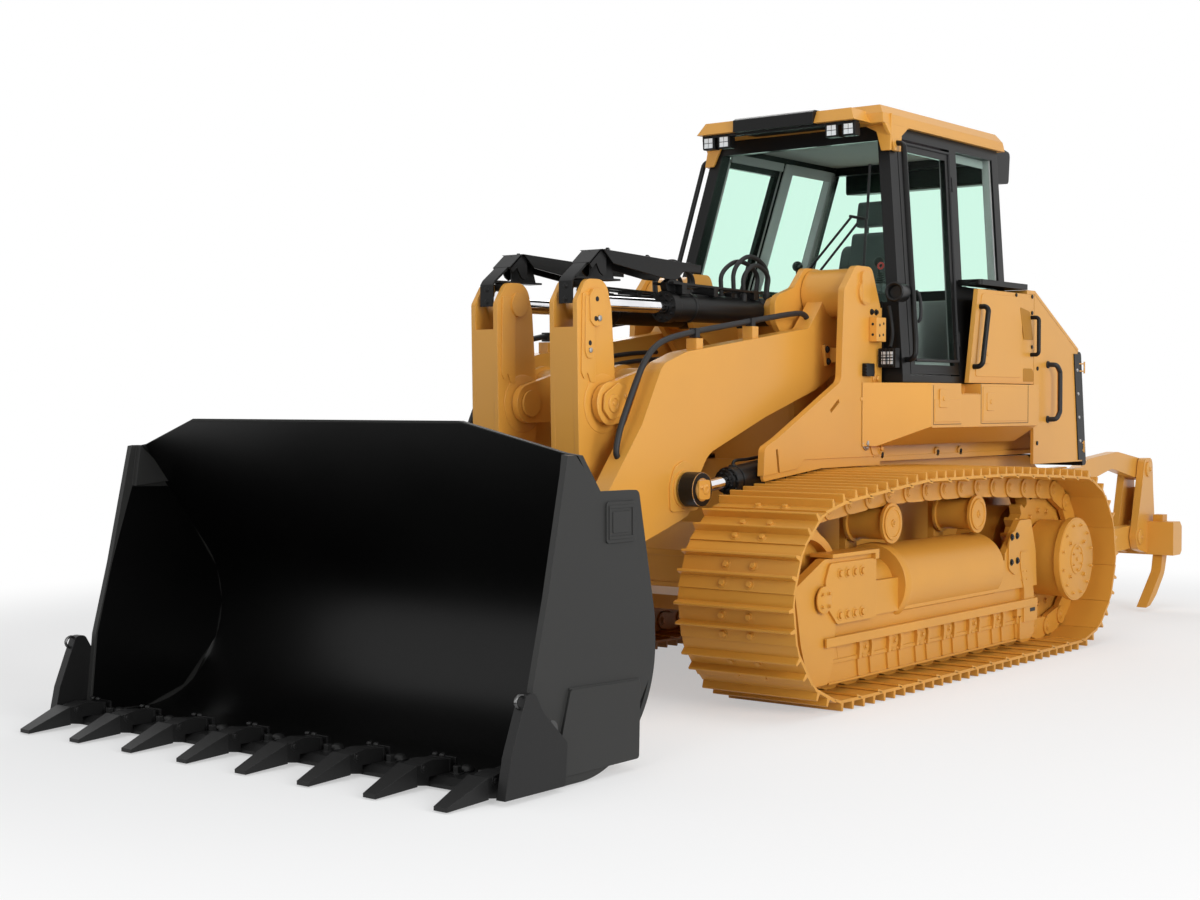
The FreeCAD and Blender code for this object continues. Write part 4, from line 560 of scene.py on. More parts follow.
    # carrier roller caps, and straps on the track frame below them
    for x, z, _ in CARRIERS:
        trim.cap(x, z, 1.163, [(0.0, 0.092), (0.006, 0.092), (0.009, 0.086), (0.009, 0.074), (0.004, 0.072),
                               (0.004, 0.022), (0.010, 0.020)], 32)
        trim.side_bolt(x, z, 1.170, 0.010, 0.008)
        trim.box(x - 0.075, x + 0.075, 0.885, 0.935, 0.600, 0.640)
        for shift in (-0.05, 0.05):
            trim.bolt(at(x + shift, 0.640, 0.910), UP, 0.012)
    # idler hub cap
    trim.cap(IDLER[0], IDLER[1], 1.244, disc(0.070, 0.008, 0.012, 0.062), 32)
    trim.bolt_circle(IDLER, 1.255, 0.045, 4, 0.008)
    trim.both().done("undercarriage_trim", YELLOW_CAST, 0.0025)
    dark = Piece()
    for x, z in ((-0.775, 0.735), (-0.845, 0.740), (-0.770, 0.585), (-0.850, 0.590)):
        dark.side_bolt(x, z, TRACK_FRAME_Y + 0.009, 0.014, 0.010)
    for x in ROLLER_XS:
        dark.prism([(x - 0.035, 0.236), (x + 0.040, 0.236), (x + 0.036, 0.228), (x - 0.031, 0.228)], 1.2045, 1.2065)
    dark.box(-1.09, -1.02, 1.2465, 1.2475, 0.268, 0.290)
    dark.both().done("undercarriage_bolts", BLACK)


# ---------------------------------------------------------------- tower, console and body side
def washer_bolt(piece, x, z, size):
    """Flanged nut with a thick hardened washer, on the tower's side."""
    piece.cap(x, z, TOWER_OUTER_Y, disc(size * 1.9, 0.006, 0.008, size * 1.7), 24)
    piece.cap(x, z, TOWER_OUTER_Y + 0.007, [(0.0, size * 1.35), (0.005, size * 1.30)], 20)
    piece.cap(x, z, TOWER_OUTER_Y + 0.011, disc(size, 0.012, 0.014, size * 0.8), 6)


def body_side():
    trim = Piece()
    for x, z in ((0.015, 1.680), (0.005, 1.460), (0.030, 1.350), (-0.035, 1.275)):
        washer_bolt(trim, x, z, 0.019)
    # corner brace on the tower between its plates and the frame
    trim.prism([(-0.058, 1.235), (0.050, 1.235), (0.100, 1.330), (0.040, 1.420), (-0.058, 1.420)],
               TOWER_OUTER_Y - 0.001, TOWER_OUTER_Y + 0.006, 0.02, 3)
    # skirt of the tower's outer plate, down to just above the track
    skirt = [(-0.058, 1.232), (0.802, 1.232), (0.862, 1.184), (1.150, 1.158), (1.197, 1.149), (1.185, 1.121),
             (0.600, 1.175), (-0.058, 1.177)]
    trim.prism(skirt, TOWER_OUTER_Y - 0.026, TOWER_OUTER_Y - 0.006)
    # console: doors, lower bead and locks
    face = CONSOLE_Y
    trim.box(-0.625, -0.300, face - 0.001, face + 0.003, 1.425, 1.560)
    trim.box(-1.560, -0.930, face - 0.001, face + 0.003, 1.425, 1.640)
    trim.box(-1.740, -0.270, 0.90, face + 0.002, 1.392, 1.402)
    for place in ((-0.405, 1.565), (-1.030, 1.545)):
        trim.prism(moved(square(0.052, 0.055), place), face + 0.001, face + 0.008, 0.012)
        trim.cap(*place, face + 0.007, [(0.0, 0.016), (0.006, 0.014)], 14)
    # grip lines of the recessed step
    for k in range(9):
        x = -0.655 - 0.028 * k
        trim.box(x - 0.008, x + 0.008, face - 0.112, face - 0.004, 1.5895, 1.5965)
    trim.cap(0.300, 1.560, face - 0.150, disc(0.012, 0.006), 10)
    trim.both().done("tower_console_trim", YELLOW, 0.002)
    bright = Piece()
    washer_bolt(bright, 0.125, 1.305, 0.021)
    bright.both().done("tower_bright_nut", STEEL)
    # seams round the console's doors, dark joints; plate on the frame's side with its washers, and in their middles
    # black discs of painted shade for the bolt holes
    seams_and_hole_shade, belly = Piece(), Piece()
    for x0, x1, z0, z1 in ((-0.640, -0.285, 1.412, 1.412), (-0.285, -0.285, 1.412, 1.640),
                           (-0.905, -0.905, 1.412, 1.650), (-1.575, -0.915, 1.412, 1.412),
                           (-1.575, -1.575, 1.412, 1.650)):
        seams_and_hole_shade.box(x0 - 0.0016, x1 + 0.0016, face - 0.002, face + 0.0012, z0 - 0.0016, z1 + 0.0016)
    belly.box(-2.300, -0.060, 0.674, 0.6895, 1.222, 1.440)
    for x in (-0.16, -0.86, -1.17):
        seams_and_hole_shade.cap(x, 1.237, 0.700, disc(0.014, 0.006), 12)
        belly.cap(x, 1.237, 0.690, disc(0.030, 0.010, 0.012, 0.024), 22)
    seams_and_hole_shade.both().done("console_seams_and_hole_shade", SEAM_BLACK_AND_HOLE_SHADE)
    belly.both().done("belly_washers", YELLOW)


def rear_edge(z):
    """X of the hood's sloping rear edge."""
    return -2.550 + 0.095 * (z - 1.100) / 0.805


def hood():
    face = BODY_Y
    trim = Piece()
    for x, z in ((-1.712, 2.120), (-1.712, 1.900), (-1.712, 1.640), (-1.712, 1.400), (-1.475, 2.225),
                 (-1.712, 2.225)):
        trim.cap(x, z, face, disc(0.013, 0.005, 0.007, 0.008), 12)
    # blind strip along the rear edge with its screws
    low, high = rear_edge(1.150), rear_edge(1.870)
    trim.prism([(low + 0.010, 1.150), (low + 0.085, 1.150), (high + 0.085, 1.870), (high + 0.012, 1.870)],
               face - 0.0005, face + 0.007)
    trim.both().done("hood_black_trim", BLACK, 0.001)
    screws = Piece()
    for z in (1.28, 1.44, 1.60, 1.76):
        screws.cap(rear_edge(z) + 0.048, z, face + 0.0065, [(0.0, 0.012), (0.005, 0.010)], 14)
    screws.both().done("hood_strip_screws", STEEL)
    # pressed frame round the side panel, and its lock
    panel = Piece()
    panel.prism([(-1.560, 2.215), (-1.560, 1.700), (-0.900, 1.700), (-0.985, 2.215)], face - 0.001, face + 0.004,
                0.03, 3)
    panel.prism([(-1.085, 1.780), (-1.085, 1.900), (-1.015, 1.900), (-1.015, 1.780)], face + 0.003, face + 0.010,
                0.010)
    panel.cap(-1.050, 1.840, face + 0.009, [(0.0, 0.014), (0.006, 0.012)], 14)
    panel.both().done("side_panel_frame", YELLOW, 0.002)
    # flat patches in a darker yellow beside the seam: painted shade standing for the shaded inside of the hollows there
    shade_patch = Piece()
    shade_patch.prism([(-1.525, 2.150), (-1.668, 2.128), (-1.728, 1.945), (-1.585, 1.945)], face + 0.003, face + 0.0055,
                 0.012)
    shade_patch.prism([(-1.585, 1.760), (-1.715, 1.760), (-1.738, 1.738), (-1.738, 1.675), (-1.585, 1.675)],
                 face - 0.001, face + 0.0015, 0.010)
    shade_patch.both().done("side_panel_painted_shade", YELLOW_PAINTED_SHADE)
    for name, side in SIDES:
        screws = Piece()
        for z in (1.762, 1.600, 1.438, 1.276):
            screws.lathe(at(-1.800, z, side * face), (0, side, 0), disc(0.014, 0.005, 0.007, 0.009), 14)
        screws.done("engine_door_screws_" + name, BLACK, 0.0, "engine_door_" + name)
    # black sleeve over each engine door's grab handle, its lower half as the upper
    upper = [(-1.960, 1.790, 0.930), (-1.960, 1.790, 0.974), (-1.9645, 1.7855, 0.9895), (-1.9756, 1.7744, 0.996),
             (-2.0036, 1.7464, 0.996), (-2.0083, 1.7395, 0.996), (-2.010, 1.7309, 0.996)]
    lower = [(x, 3.220 - z, y) for x, z, y in reversed(upper)]
    for name, side in SIDES:
        grip = Piece()
        grip.tube([at(x, z, side * y) for x, z, y in upper + lower], 0.0162, 12, 4)
        for z in (1.790, 1.430):
            grip.lathe(at(-1.960, z, side * face), (0, side, 0), disc(0.024, 0.008, 0.010, 0.020), 20)
        grip.done("engine_door_grip_" + name, PLASTIC, 0.0, "engine_door_" + name)


# ---------------------------------------------------------------- linkage
def retainer(piece, centre, y, turn, size):
    """Pin retainer plate with a pressed ring in its middle and a bolt at one end."""
    x, z = centre
    c, s = math.cos(turn) * size, math.sin(turn) * size
    outline = [(-0.045, 0.060), (0.060, 0.075), (0.125, 0.030), (0.125, -0.030), (0.060, -0.075), (-0.045, -0.060),
               (-0.075, 0.0)]
    piece.prism([(x + a * c - b * s, z + a * s + b * c) for a, b in outline], y, y + 0.010, 0.012)
    ring = [(0.0, 0.040 * size), (0.007, 0.040 * size), (0.009, 0.034 * size), (0.009, 0.024 * size),
            (0.003, 0.022 * size), (0.003, 0.010 * size), (0.007, 0.008 * size)]
    piece.cap(x, z, y + 0.009, ring, 24)
    piece.side_bolt(x + 0.095 * c, z + 0.095 * s, y + 0.009, 0.011, 0.010)


def lift_arms():
    face = ARM_OUTER_Y
    trim = Piece()
    flange = [(-0.125, -0.115), (0.120, -0.115), (0.125, 0.020), (0.085, 0.115), (0.0, 0.150), (-0.085, 0.115),
              (-0.125, 0.020)]
    trim.prism(moved(flange, LIFT_EYE), face - 0.001, face + 0.010, 0.030, 4)
    # sensor bracket near the tower
    trim.prism([(0.225, 1.872), (0.288, 1.872), (0.262, 1.748), (0.222, 1.748)], face - 0.001, face + 0.018, 0.012)
    trim.solid([[at(0.228, 1.858, 0.566), at(0.228, 1.766, 0.566), at(0.216, 1.766, 0.572), at(0.216, 1.858, 0.572)],
                [at(0.110, 1.838, 0.690), at(0.110, 1.800, 0.690), at(0.098, 1.800, 0.690), at(0.098, 1.838, 0.690)]])
    trim.cap(0.095, 1.819, 0.672, disc(0.024, 0.026, 0.028, 0.020), 18)
    # pivots of the levers and arms, and the blocks under the pipe's clamps
    retainer(trim, LEVER_PIVOT, LEVER_Y + 0.152, math.radians(160), 1.15)
    trim.cap(*LEVER_PIVOT, LEVER_Y + 0.135, [(0.0, 0.110), (0.006, 0.110), (0.009, 0.100), (0.009, 0.070)], 40)
    trim.cap(*ARM_PIVOT, face - 0.001, disc(0.128, 0.008, 0.012, 0.118), 40)
    for x, z in ((0.950, 1.880), (1.480, 1.800)):
        trim.box(x - 0.030, x + 0.030, 0.470, 0.536, z, z + 0.075)
    trim.both().done("lift_arm_trim", YELLOW, 0.002, "lift_arms")
    dark = Piece()
    for x, z in ((0.257, 1.845), (0.244, 1.776)):
        dark.side_bolt(x, z, face + 0.017, 0.014, 0.012)
    route = [(0.345, 1.978), (0.352, 2.010), (0.390, 2.045), (0.480, 2.047), (0.760, 2.010), (1.160, 1.955),
             (1.560, 1.900), (1.800, 1.850), (1.925, 1.750), (2.030, 1.580), (2.120, 1.420), (2.158, 1.310),
             (2.150, 1.262), (2.095, 1.245)]
    dark.tube([at(x, z, 0.503) for x, z in route], 0.016, 12)
    for x, z in ((0.950, 1.965), (1.480, 1.893)):
        dark.box(x - 0.018, x + 0.018, 0.482, 0.524, z - 0.014, z + 0.036)
    # hose and pipe between the arms
    for y, zs in ((0.425, (1.84, 1.83, 1.74, 1.70)), (0.395, (1.80, 1.78, 1.70, 1.66))):
        dark.tube([at(x, z, y) for x, z in zip((0.55, 0.90, 1.30, 1.52), zs)], 0.013)
    dark.both().done("lift_arm_pipes", PLASTIC, 0.0, "lift_arms")


def tilt_levers():
    face, inner = LEVER_Y + 0.088, LEVER_Y - 0.088
    trim = Piece()
    pad = [(2.135, 2.085), (2.235, 2.085), (2.245, 1.690), (2.222, 1.655), (2.196, 1.690), (2.172, 1.640),
           (2.135, 1.640)]
    tab = [(2.150, 2.070), (2.220, 2.070), (2.224, 1.795), (2.205, 1.760), (2.165, 1.760), (2.150, 1.790)]
    # retainer of the top pin
    keeper = [(2.197, 2.070), (2.165, 2.108), (2.115, 2.108), (2.083, 2.083), (2.083, 1.945), (2.110, 1.921),
              (2.160, 1.921), (2.190, 1.945)]
    trim.prism(pad, face - 0.001, face + 0.007, 0.008)
    trim.prism(pad, inner - 0.007, inner + 0.001, 0.008)
    trim.prism(tab, face + 0.006, face + 0.014, 0.010)
    trim.prism(keeper, face - 0.001, face + 0.022, 0.010)
    trim.cap(*LEVER_PIVOT, face - 0.001, [(0.0, 0.150), (0.004, 0.150), (0.006, 0.142), (0.006, 0.100)], 48)
    trim.cap(*LEVER_PIVOT, inner - 0.005, [(0.0, 0.142), (0.002, 0.150), (0.006, 0.150)], 48)
    trim.cap(*LEVER_FOOT, LEVER_Y + 0.103, disc(0.050, 0.010, 0.013, 0.042), 28)
    trim.side_bolt(*LEVER_FOOT, LEVER_Y + 0.115, 0.012, 0.010)
    trim.both().done("tilt_lever_trim", YELLOW, 0.0015, "tilt_levers")
    bolts = Piece()
    bolts.cap(2.186, 1.800, face + 0.013, disc(0.013, 0.008, 0.010, 0.008), 14)
    bolts.cap(2.125, 1.960, face + 0.021, disc(0.015, 0.010, 0.013, 0.009), 14)
    bolts.both().done("tilt_lever_bolts", STEEL, 0.0, "tilt_levers")
    # black discs over the lever's holes: painted shade for their dark insides
    hole_shade_discs = Piece()
    for x, z, proud in ((2.186, 1.836, 0.0125), (2.139, 2.056, 0.0215), (2.150, 1.958, 0.0215)):
        hole_shade_discs.cap(x, z, face + proud, disc(0.013, 0.002), 16)
    hole_shade_discs.both().done("tilt_lever_hole_shade", SEAM_BLACK_AND_HOLE_SHADE, 0.0, "tilt_levers")


def hoods():
    """Narrow hood over each tilt rod's eye, standing for the rod_guards node, and its channel over the rod."""
    sheet, brow_half, plate_half = 0.010, 0.058, 0.043
    hood = Piece()

    def across_rod(outline, half):
        hood.prism(moved(outline, LEVER_TOP), LEVER_Y - half, LEVER_Y + half)

    # brow from the peak down, and the front plate between the lever's cheeks
    across_rod([(-0.062, 0.2685), (0.030, 0.197), (0.022, 0.187), (-0.062, 0.2555)], brow_half)
    across_rod([(0.028, 0.197), (0.128, 0.124), (0.146, 0.100), (0.146, -0.012), (0.136, -0.012), (0.136, 0.096),
                (0.122, 0.114), (0.020, 0.187)], plate_half)
    # cheeks under the brow, the strap with its web to the channel, and the block under the strap
    cheek = [(-0.060, 0.2645), (0.028, 0.193), (0.004, 0.168), (-0.030, 0.196), (-0.062, 0.150), (-0.090, 0.135),
             (-0.112, 0.150), (-0.112, 0.262)]
    for low in (LEVER_Y - brow_half, LEVER_Y + brow_half - sheet):
        hood.prism(moved(cheek, LEVER_TOP), low, low + sheet)
    across_rod([(0.124, 0.124), (-0.250, 0.128), (-0.250, 0.118), (0.124, 0.112)], plate_half)
    across_rod([(-0.050, 0.126), (-0.050, 0.262), (-0.200, 0.252), (-0.246, 0.126)], sheet / 2)
    across_rod([(-0.030, 0.060), (0.030, 0.060), (0.030, 0.114), (-0.030, 0.114)], plate_half)
    for height in (0.012, 0.076):
        hood.bolt(at(LEVER_TOP[0] + 0.145, LEVER_TOP[1] + height, LEVER_Y), AHEAD, 0.010, 0.006)
    standing = hood.both().done("tilt_rod_hoods", BLACK, 0.001, "tilt_rods")
    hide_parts("rod_guards")
    # folded channel that carries the hood's line back over the rod
    channel = Piece()
    half = 0.074
    channel.prism([(2.048, 2.3110), (2.048, 2.3135), (1.180, 2.282), (1.180, 2.273)], LEVER_Y - half, LEVER_Y + half)
    flange = [(2.040, 2.311), (1.182, 2.276), (1.182, 2.240), (1.340, 2.240), (1.405, 2.192), (1.500, 2.192),
              (1.960, 2.246)]
    for low in (LEVER_Y - half, LEVER_Y + half - sheet):
        channel.prism(flange, low, low + sheet)
    for x in (1.240, 1.620, 1.960):
        channel.bolt(at(x, 2.2825 + (x - 1.180) * 0.0445, LEVER_Y + 0.035), UP, 0.010, 0.008)
    channel.both().done("tilt_rod_channel", BLACK, 0.001, "tilt_rods")


class Cylinder(Piece):
    """Solids placed along a cylinder: (distance from its tail pin, height over its axis, sideways)."""

    def __init__(self, tail, head, y):
        super().__init__()
        self.ends, self.y = (tail, head), y
        self.upward = Vector()
        self.aim = (self.place(1.0) - self.place(0.0)).normalized()
        self.upward = Vector((-self.aim.z, 0, self.aim.x))

    def place(self, reach, height=0.0, aside=0.0):
        (x1, z1), (x2, z2) = self.ends
        share = reach / math.dist(*self.ends)
        return at(x1 + (x2 - x1) * share, z1 + (z2 - z1) * share, self.y + aside) + self.upward * height

    def bolts(self, reach, radius, count, size, height, shift=0.0):
        """Bolts round the gland."""
        for spot in circle(self.place(reach), Vector(OUT), self.upward, radius, count, shift):
            self.bolt(spot, self.aim, size, height)

    def block(self, reach, length, width, low, high):
        """Clamp block on the barrel, its length and width given as halves."""
        middle = self.place(reach)
        self.solid([[middle + self.aim * a + Vector(OUT) * b + self.upward * height for a, b in square(length, width)]
                    for height in (low, high)])


def cylinders():
    tilt = Cylinder(TILT_TAIL, LEVER_TOP, LEVER_Y)
    tilt.bolts(0.978, 0.066, 10, 0.009, 0.012)
    tilt.ring(tilt.place(0.743), tilt.aim, 0.0755, 0.081, 0.034)
    for reach in (0.330, 0.800):
        tilt.block(reach, 0.035, 0.028, 0.066, 0.098)
    # steel line from the tail port to the gland
    tilt.tube([tilt.place(reach, height, -0.055)
               for reach, height in ((0.33, 0.085), (0.40, 0.092), (0.60, 0.082), (0.80, 0.082))], 0.009, 8)
    tilt.both().done("tilt_barrel_trim", BLACK, 0.001, "tilt_barrels")
    hoses = Cylinder(TILT_TAIL, LEVER_TOP, LEVER_Y)
    for aside, top, reach, back in ((-0.035, 0.205, 0.375, 0.020), (0.012, 0.235, 0.320, -0.010),
                                    (0.045, 0.180, 0.270, 0.030)):
        rise = top * 0.75
        route = [(reach, 0.060), (reach, 0.110), (reach + 0.010, 0.060 + rise), ((reach + back) / 2, top + 0.0975),
                 (back - 0.030, 0.075 + rise), (back, 0.125), (back, 0.075)]
        places = [hoses.place(distance, height, aside) for distance, height in route]
        hoses.tube(places, 0.013, 12, 10)
        for place in (places[0], places[-1]):
            hoses.lathe(place, hoses.upward, [(-0.010, 0.019), (0.030, 0.019), (0.034, 0.014)], 12)
    hoses.both().done("tilt_hoses", RUBBER, 0.0, "tilt_barrels")
    lift = Cylinder(LIFT_TAIL, LIFT_EYE, LIFT_CYLINDER_Y)
    lift.bolts(1.248, 0.046, 8, 0.0065, 0.010, 0.5)
    lift.bolts(1.225, 0.0645, 10, 0.0055, 0.010)
    lift.ring(lift.place(0.170), lift.aim, 0.0545, 0.0700, 0.990, 44)
    lift.ring(lift.place(1.172), lift.aim, 0.0545, 0.0730, 0.054, 44)
    for reach in (0.50, 0.86):
        lift.block(reach, 0.02, 0.02, 0.048, 0.085)
    # port near the gland and its line to the tail
    lift.lathe(lift.place(1.165, 0.045), lift.upward, disc(0.022, 0.030, 0.034, 0.016), 6)
    lift.tube([lift.place(reach, height)
               for reach, height in ((1.165, 0.060), (1.165, 0.092), (1.115, 0.098), (1.005, 0.084), (0.360, 0.084),
                                     (0.260, 0.080), (0.260, 0.055))], 0.009)
    lift.both().done("lift_barrel_trim", BLACK, 0.0, "lift_barrels")
    eye, sleeve = Piece(), Piece()
    x, z = LIFT_EYE
    eye.cap(x - 0.012, z, 0.691, [(0.0, 0.026), (0.005, 0.026), (0.007, 0.022), (0.007, 0.014), (0.002, 0.012)], 24)
    eye.side_bolt(x + 0.026, z + 0.012, 0.691, 0.009, 0.008)
    eye.prism(moved(square(0.050, 0.050), LIFT_EYE), 0.680, 0.6935, 0.022, 3)
    eye.both().done("lift_eye_cap_trim", YELLOW, 0.0, "lift_rods")
    sleeve.ring(at(x, z, 0.5845), OUT, 0.060, 0.0895, 0.094, 36)
    sleeve.both().done("lift_rod_eyes", BLACK, 0.0, "lift_rods")


# ---------------------------------------------------------------- bucket
BACK_CENTRE = (3.560, 0.515)
BACK_RADIUS = 0.510
BACK_START, BACK_END = 270.0, 142.0   # degrees, from the floor up to the spill guard
BACK_STEPS = 28
WALL = 0.025
EDGE_REAR = 3.840
SHOULDER_Z = 1.148            # height of the side plates' shoulder
SPILL_TOP_Z = 1.463
TOOTH_PITCH = 0.3757


def back_line(offset):
    """Profile of the bucket's floor and back at an offset inside its outer skin."""
    radius = BACK_RADIUS - offset
    points = [(EDGE_REAR - 0.01, BACK_CENTRE[1] - radius)]
    points += arc_points(BACK_CENTRE, radius, BACK_START, BACK_END, BACK_STEPS)
    x, z = points[-1]
    rise = SPILL_TOP_Z - 0.012 - z
    points.append((x - rise * math.tan(math.radians(BACK_END)), z + rise))
    return points


def back_place(offset, z):
    """X of the straight spill guard at height z."""
    (x1, z1), (x2, z2) = back_line(offset)[-2:]
    return x1 + (x2 - x1) * (z - z1) / (z2 - z1)


def bucket():
    # inside of the bucket: a thin skin in the much darker copy of the bucket paint, painted shade where the bucket's
    # hollow is shaded
    inner = Piece()
    skin = (WALL - 0.0005, WALL + 0.002)
    near, far = [[p for p in back_line(offset)[:-1] if p[1] < SHOULDER_Z] +
                 [(back_place(offset, SHOULDER_Z), SHOULDER_Z)] for offset in skin]
    inner.prism(near + far[::-1], -1.3695, 1.3695)
    # above the side plates' shoulder the skin narrows with the spill guard's cut corners
    rows = [(SHOULDER_Z, 1.369), (1.330, 1.333), (SPILL_TOP_Z - 0.012, 0.865)]
    for pair in zip(rows, rows[1:]):
        inner.solid([[at(back_place(skin[far_side], z), z, y * across)
                      for far_side, across in ((0, -1), (0, 1), (1, 1), (1, -1))] for z, y in pair])
    inner.done("bucket_shade_skin", BUCKET_PAINTED_SHADE, 0.0, "bucket")
    # inner faces of the side plates in the same darker copy: painted shade
    sides = Piece()
    sides.prism([(3.790, 0.045), (3.560, 0.0325), (3.330, 0.110), (3.120, 0.330), (3.078, 0.515), (3.110, 0.690),
                 (3.400, 1.120), (3.640, 1.125), (3.762, 0.760), (3.850, 0.420), (3.888, 0.045)], 1.3675, 1.3702)
    sides.both().done("bucket_shade_sides", BUCKET_PAINTED_SHADE, 0.0, "bucket")
    # framed pad on the side plate
    trim = Piece()
    rim_y = 1.4078
    for x0, x1, z0, z1 in ((3.215, 3.385, 1.103, 1.115), (3.215, 3.385, 0.975, 0.987), (3.215, 3.227, 0.987, 1.103),
                           (3.373, 3.385, 0.987, 1.103)):
        trim.box(x0, x1, rim_y - 0.001, rim_y + 0.004, z0, z1)
    trim.prism([(3.240, 1.000), (3.240, 1.090), (3.360, 1.090), (3.360, 1.000)], rim_y - 0.001, rim_y + 0.003, 0.008)
    # weld beads round the wear plate and along the side plate's rear edge
    for first, last, y, radius in (((3.175, 0.375), (3.640, 0.390), 1.4015, 0.006),
                                   ((3.185, 0.045), (3.175, 0.375), 1.4015, 0.006),
                                   ((3.410, 1.152), (3.610, 1.320), 1.355, 0.007)):
        trim.bar(at(*first, y), at(*last, y), radius)
    trim.both().done("bucket_side_trim", BUCKET_OUT, 0.001, "bucket")
    # pins and bolts of the teeth, and bolt heads on the edge between them
    edge = Piece()
    for k in range(8):
        y = (k - 3.5) * TOOTH_PITCH
        for shift in (-0.020, 0.020):
            edge.lathe(at(3.905, 0.112, y + shift), UP, [(0.0, 0.013), (0.008, 0.012), (0.011, 0.007)], 12)
        edge.cap(4.040, 0.085, y - 0.048, disc(0.022, 0.096), 6)
        edge.cap(4.040, 0.085, y - 0.052, disc(0.010, 0.104), 12)
        for x in (3.845, 3.880):
            edge.box(x, x + 0.010, y - 0.047, y + 0.047, 0.044, 0.100)
    for k in range(7):
        y = (k - 3.0) * TOOTH_PITCH
        for shift in (-0.105, 0.030):
            edge.bolt(at(3.885, 0.0445, y + shift), UP, 0.020, 0.030)
        for x, shift in ((3.770, 0.030), (3.830, -0.105)):
            edge.lathe(at(x, 0.0445, y + shift), UP,
                       [(0.0, 0.034), (0.008, 0.034), (0.020, 0.026), (0.026, 0.014), (0.028, 0.004)], 20)
    edge.done("bucket_edge_bolts", EDGE_BLACK, 0.001, "bucket")
    # lifting ring and bolt heads on the corner guards
    guard = Piece()
    turns = [2 * math.pi * k / 14 for k in range(15)]
    guard.tube([at(3.965 + 0.030 * math.cos(a), 0.385 + 0.026 * math.sin(a), 1.424) for a in turns], 0.007, 8, 4)
    for x, z in ((3.770, 0.115), (3.800, 0.255)):
        guard.cap(x, z, 1.4395, [(0.0, 0.038), (0.006, 0.038), (0.0063, 0.034), (0.0055, 0.026), (0.0055, 0.020),
                                 (0.0063, 0.016)], 28)
    guard.both().done("corner_guard_trim", STEEL_DARK, 0.0, "bucket")
    ears = Piece()
    for y, facing in ((0.605, 1), (0.404, -1)):
        ears.ring(at(*BUCKET_PIVOT, y), (0, facing, 0), 0.050, 0.110, 0.008, 36)
    retainer(ears, BUCKET_PIVOT, 0.640, math.radians(200), 0.9)
    ears.both().done("bucket_hinge_trim", BUCKET_OUT, 0.0, "bucket")


# ---------------------------------------------------------------- cab
CAB_FOOT_Z = 1.700            # the cab's sloping faces are measured up from here
CAB_RISE = 1.500
WINDSCREEN_OUT = (1, 0, 0.187)


def front_x(z):
    return -0.080 - 0.280 * (z - CAB_FOOT_Z) / CAB_RISE


def side_y(z):
    return 0.880 - 0.260 * (z - CAB_FOOT_Z) / CAB_RISE


def door_front_x(z):
    return front_x(z) - 0.165


def door_rear_x(z):
    return -0.785 - 0.340 * (z - CAB_FOOT_Z) / CAB_RISE


def pane(y, z, proud):
    """Place on the windscreen's plane, or proud of it."""
    return at(front_x(z) - 0.010 + proud, z, y)


def lens_block(lens, place, gap, half, x_low, x_high):
    """Four square lenses side by side, each centre a gap away from the place (y, z)."""
    y, z = place
    for dy in (-gap, gap):
        for dz in (-gap, gap):
            lens.solid([[at(x, z + dz + c, y + dy + b) for b, c in square(half, half)] for x in (x_low, x_high)])


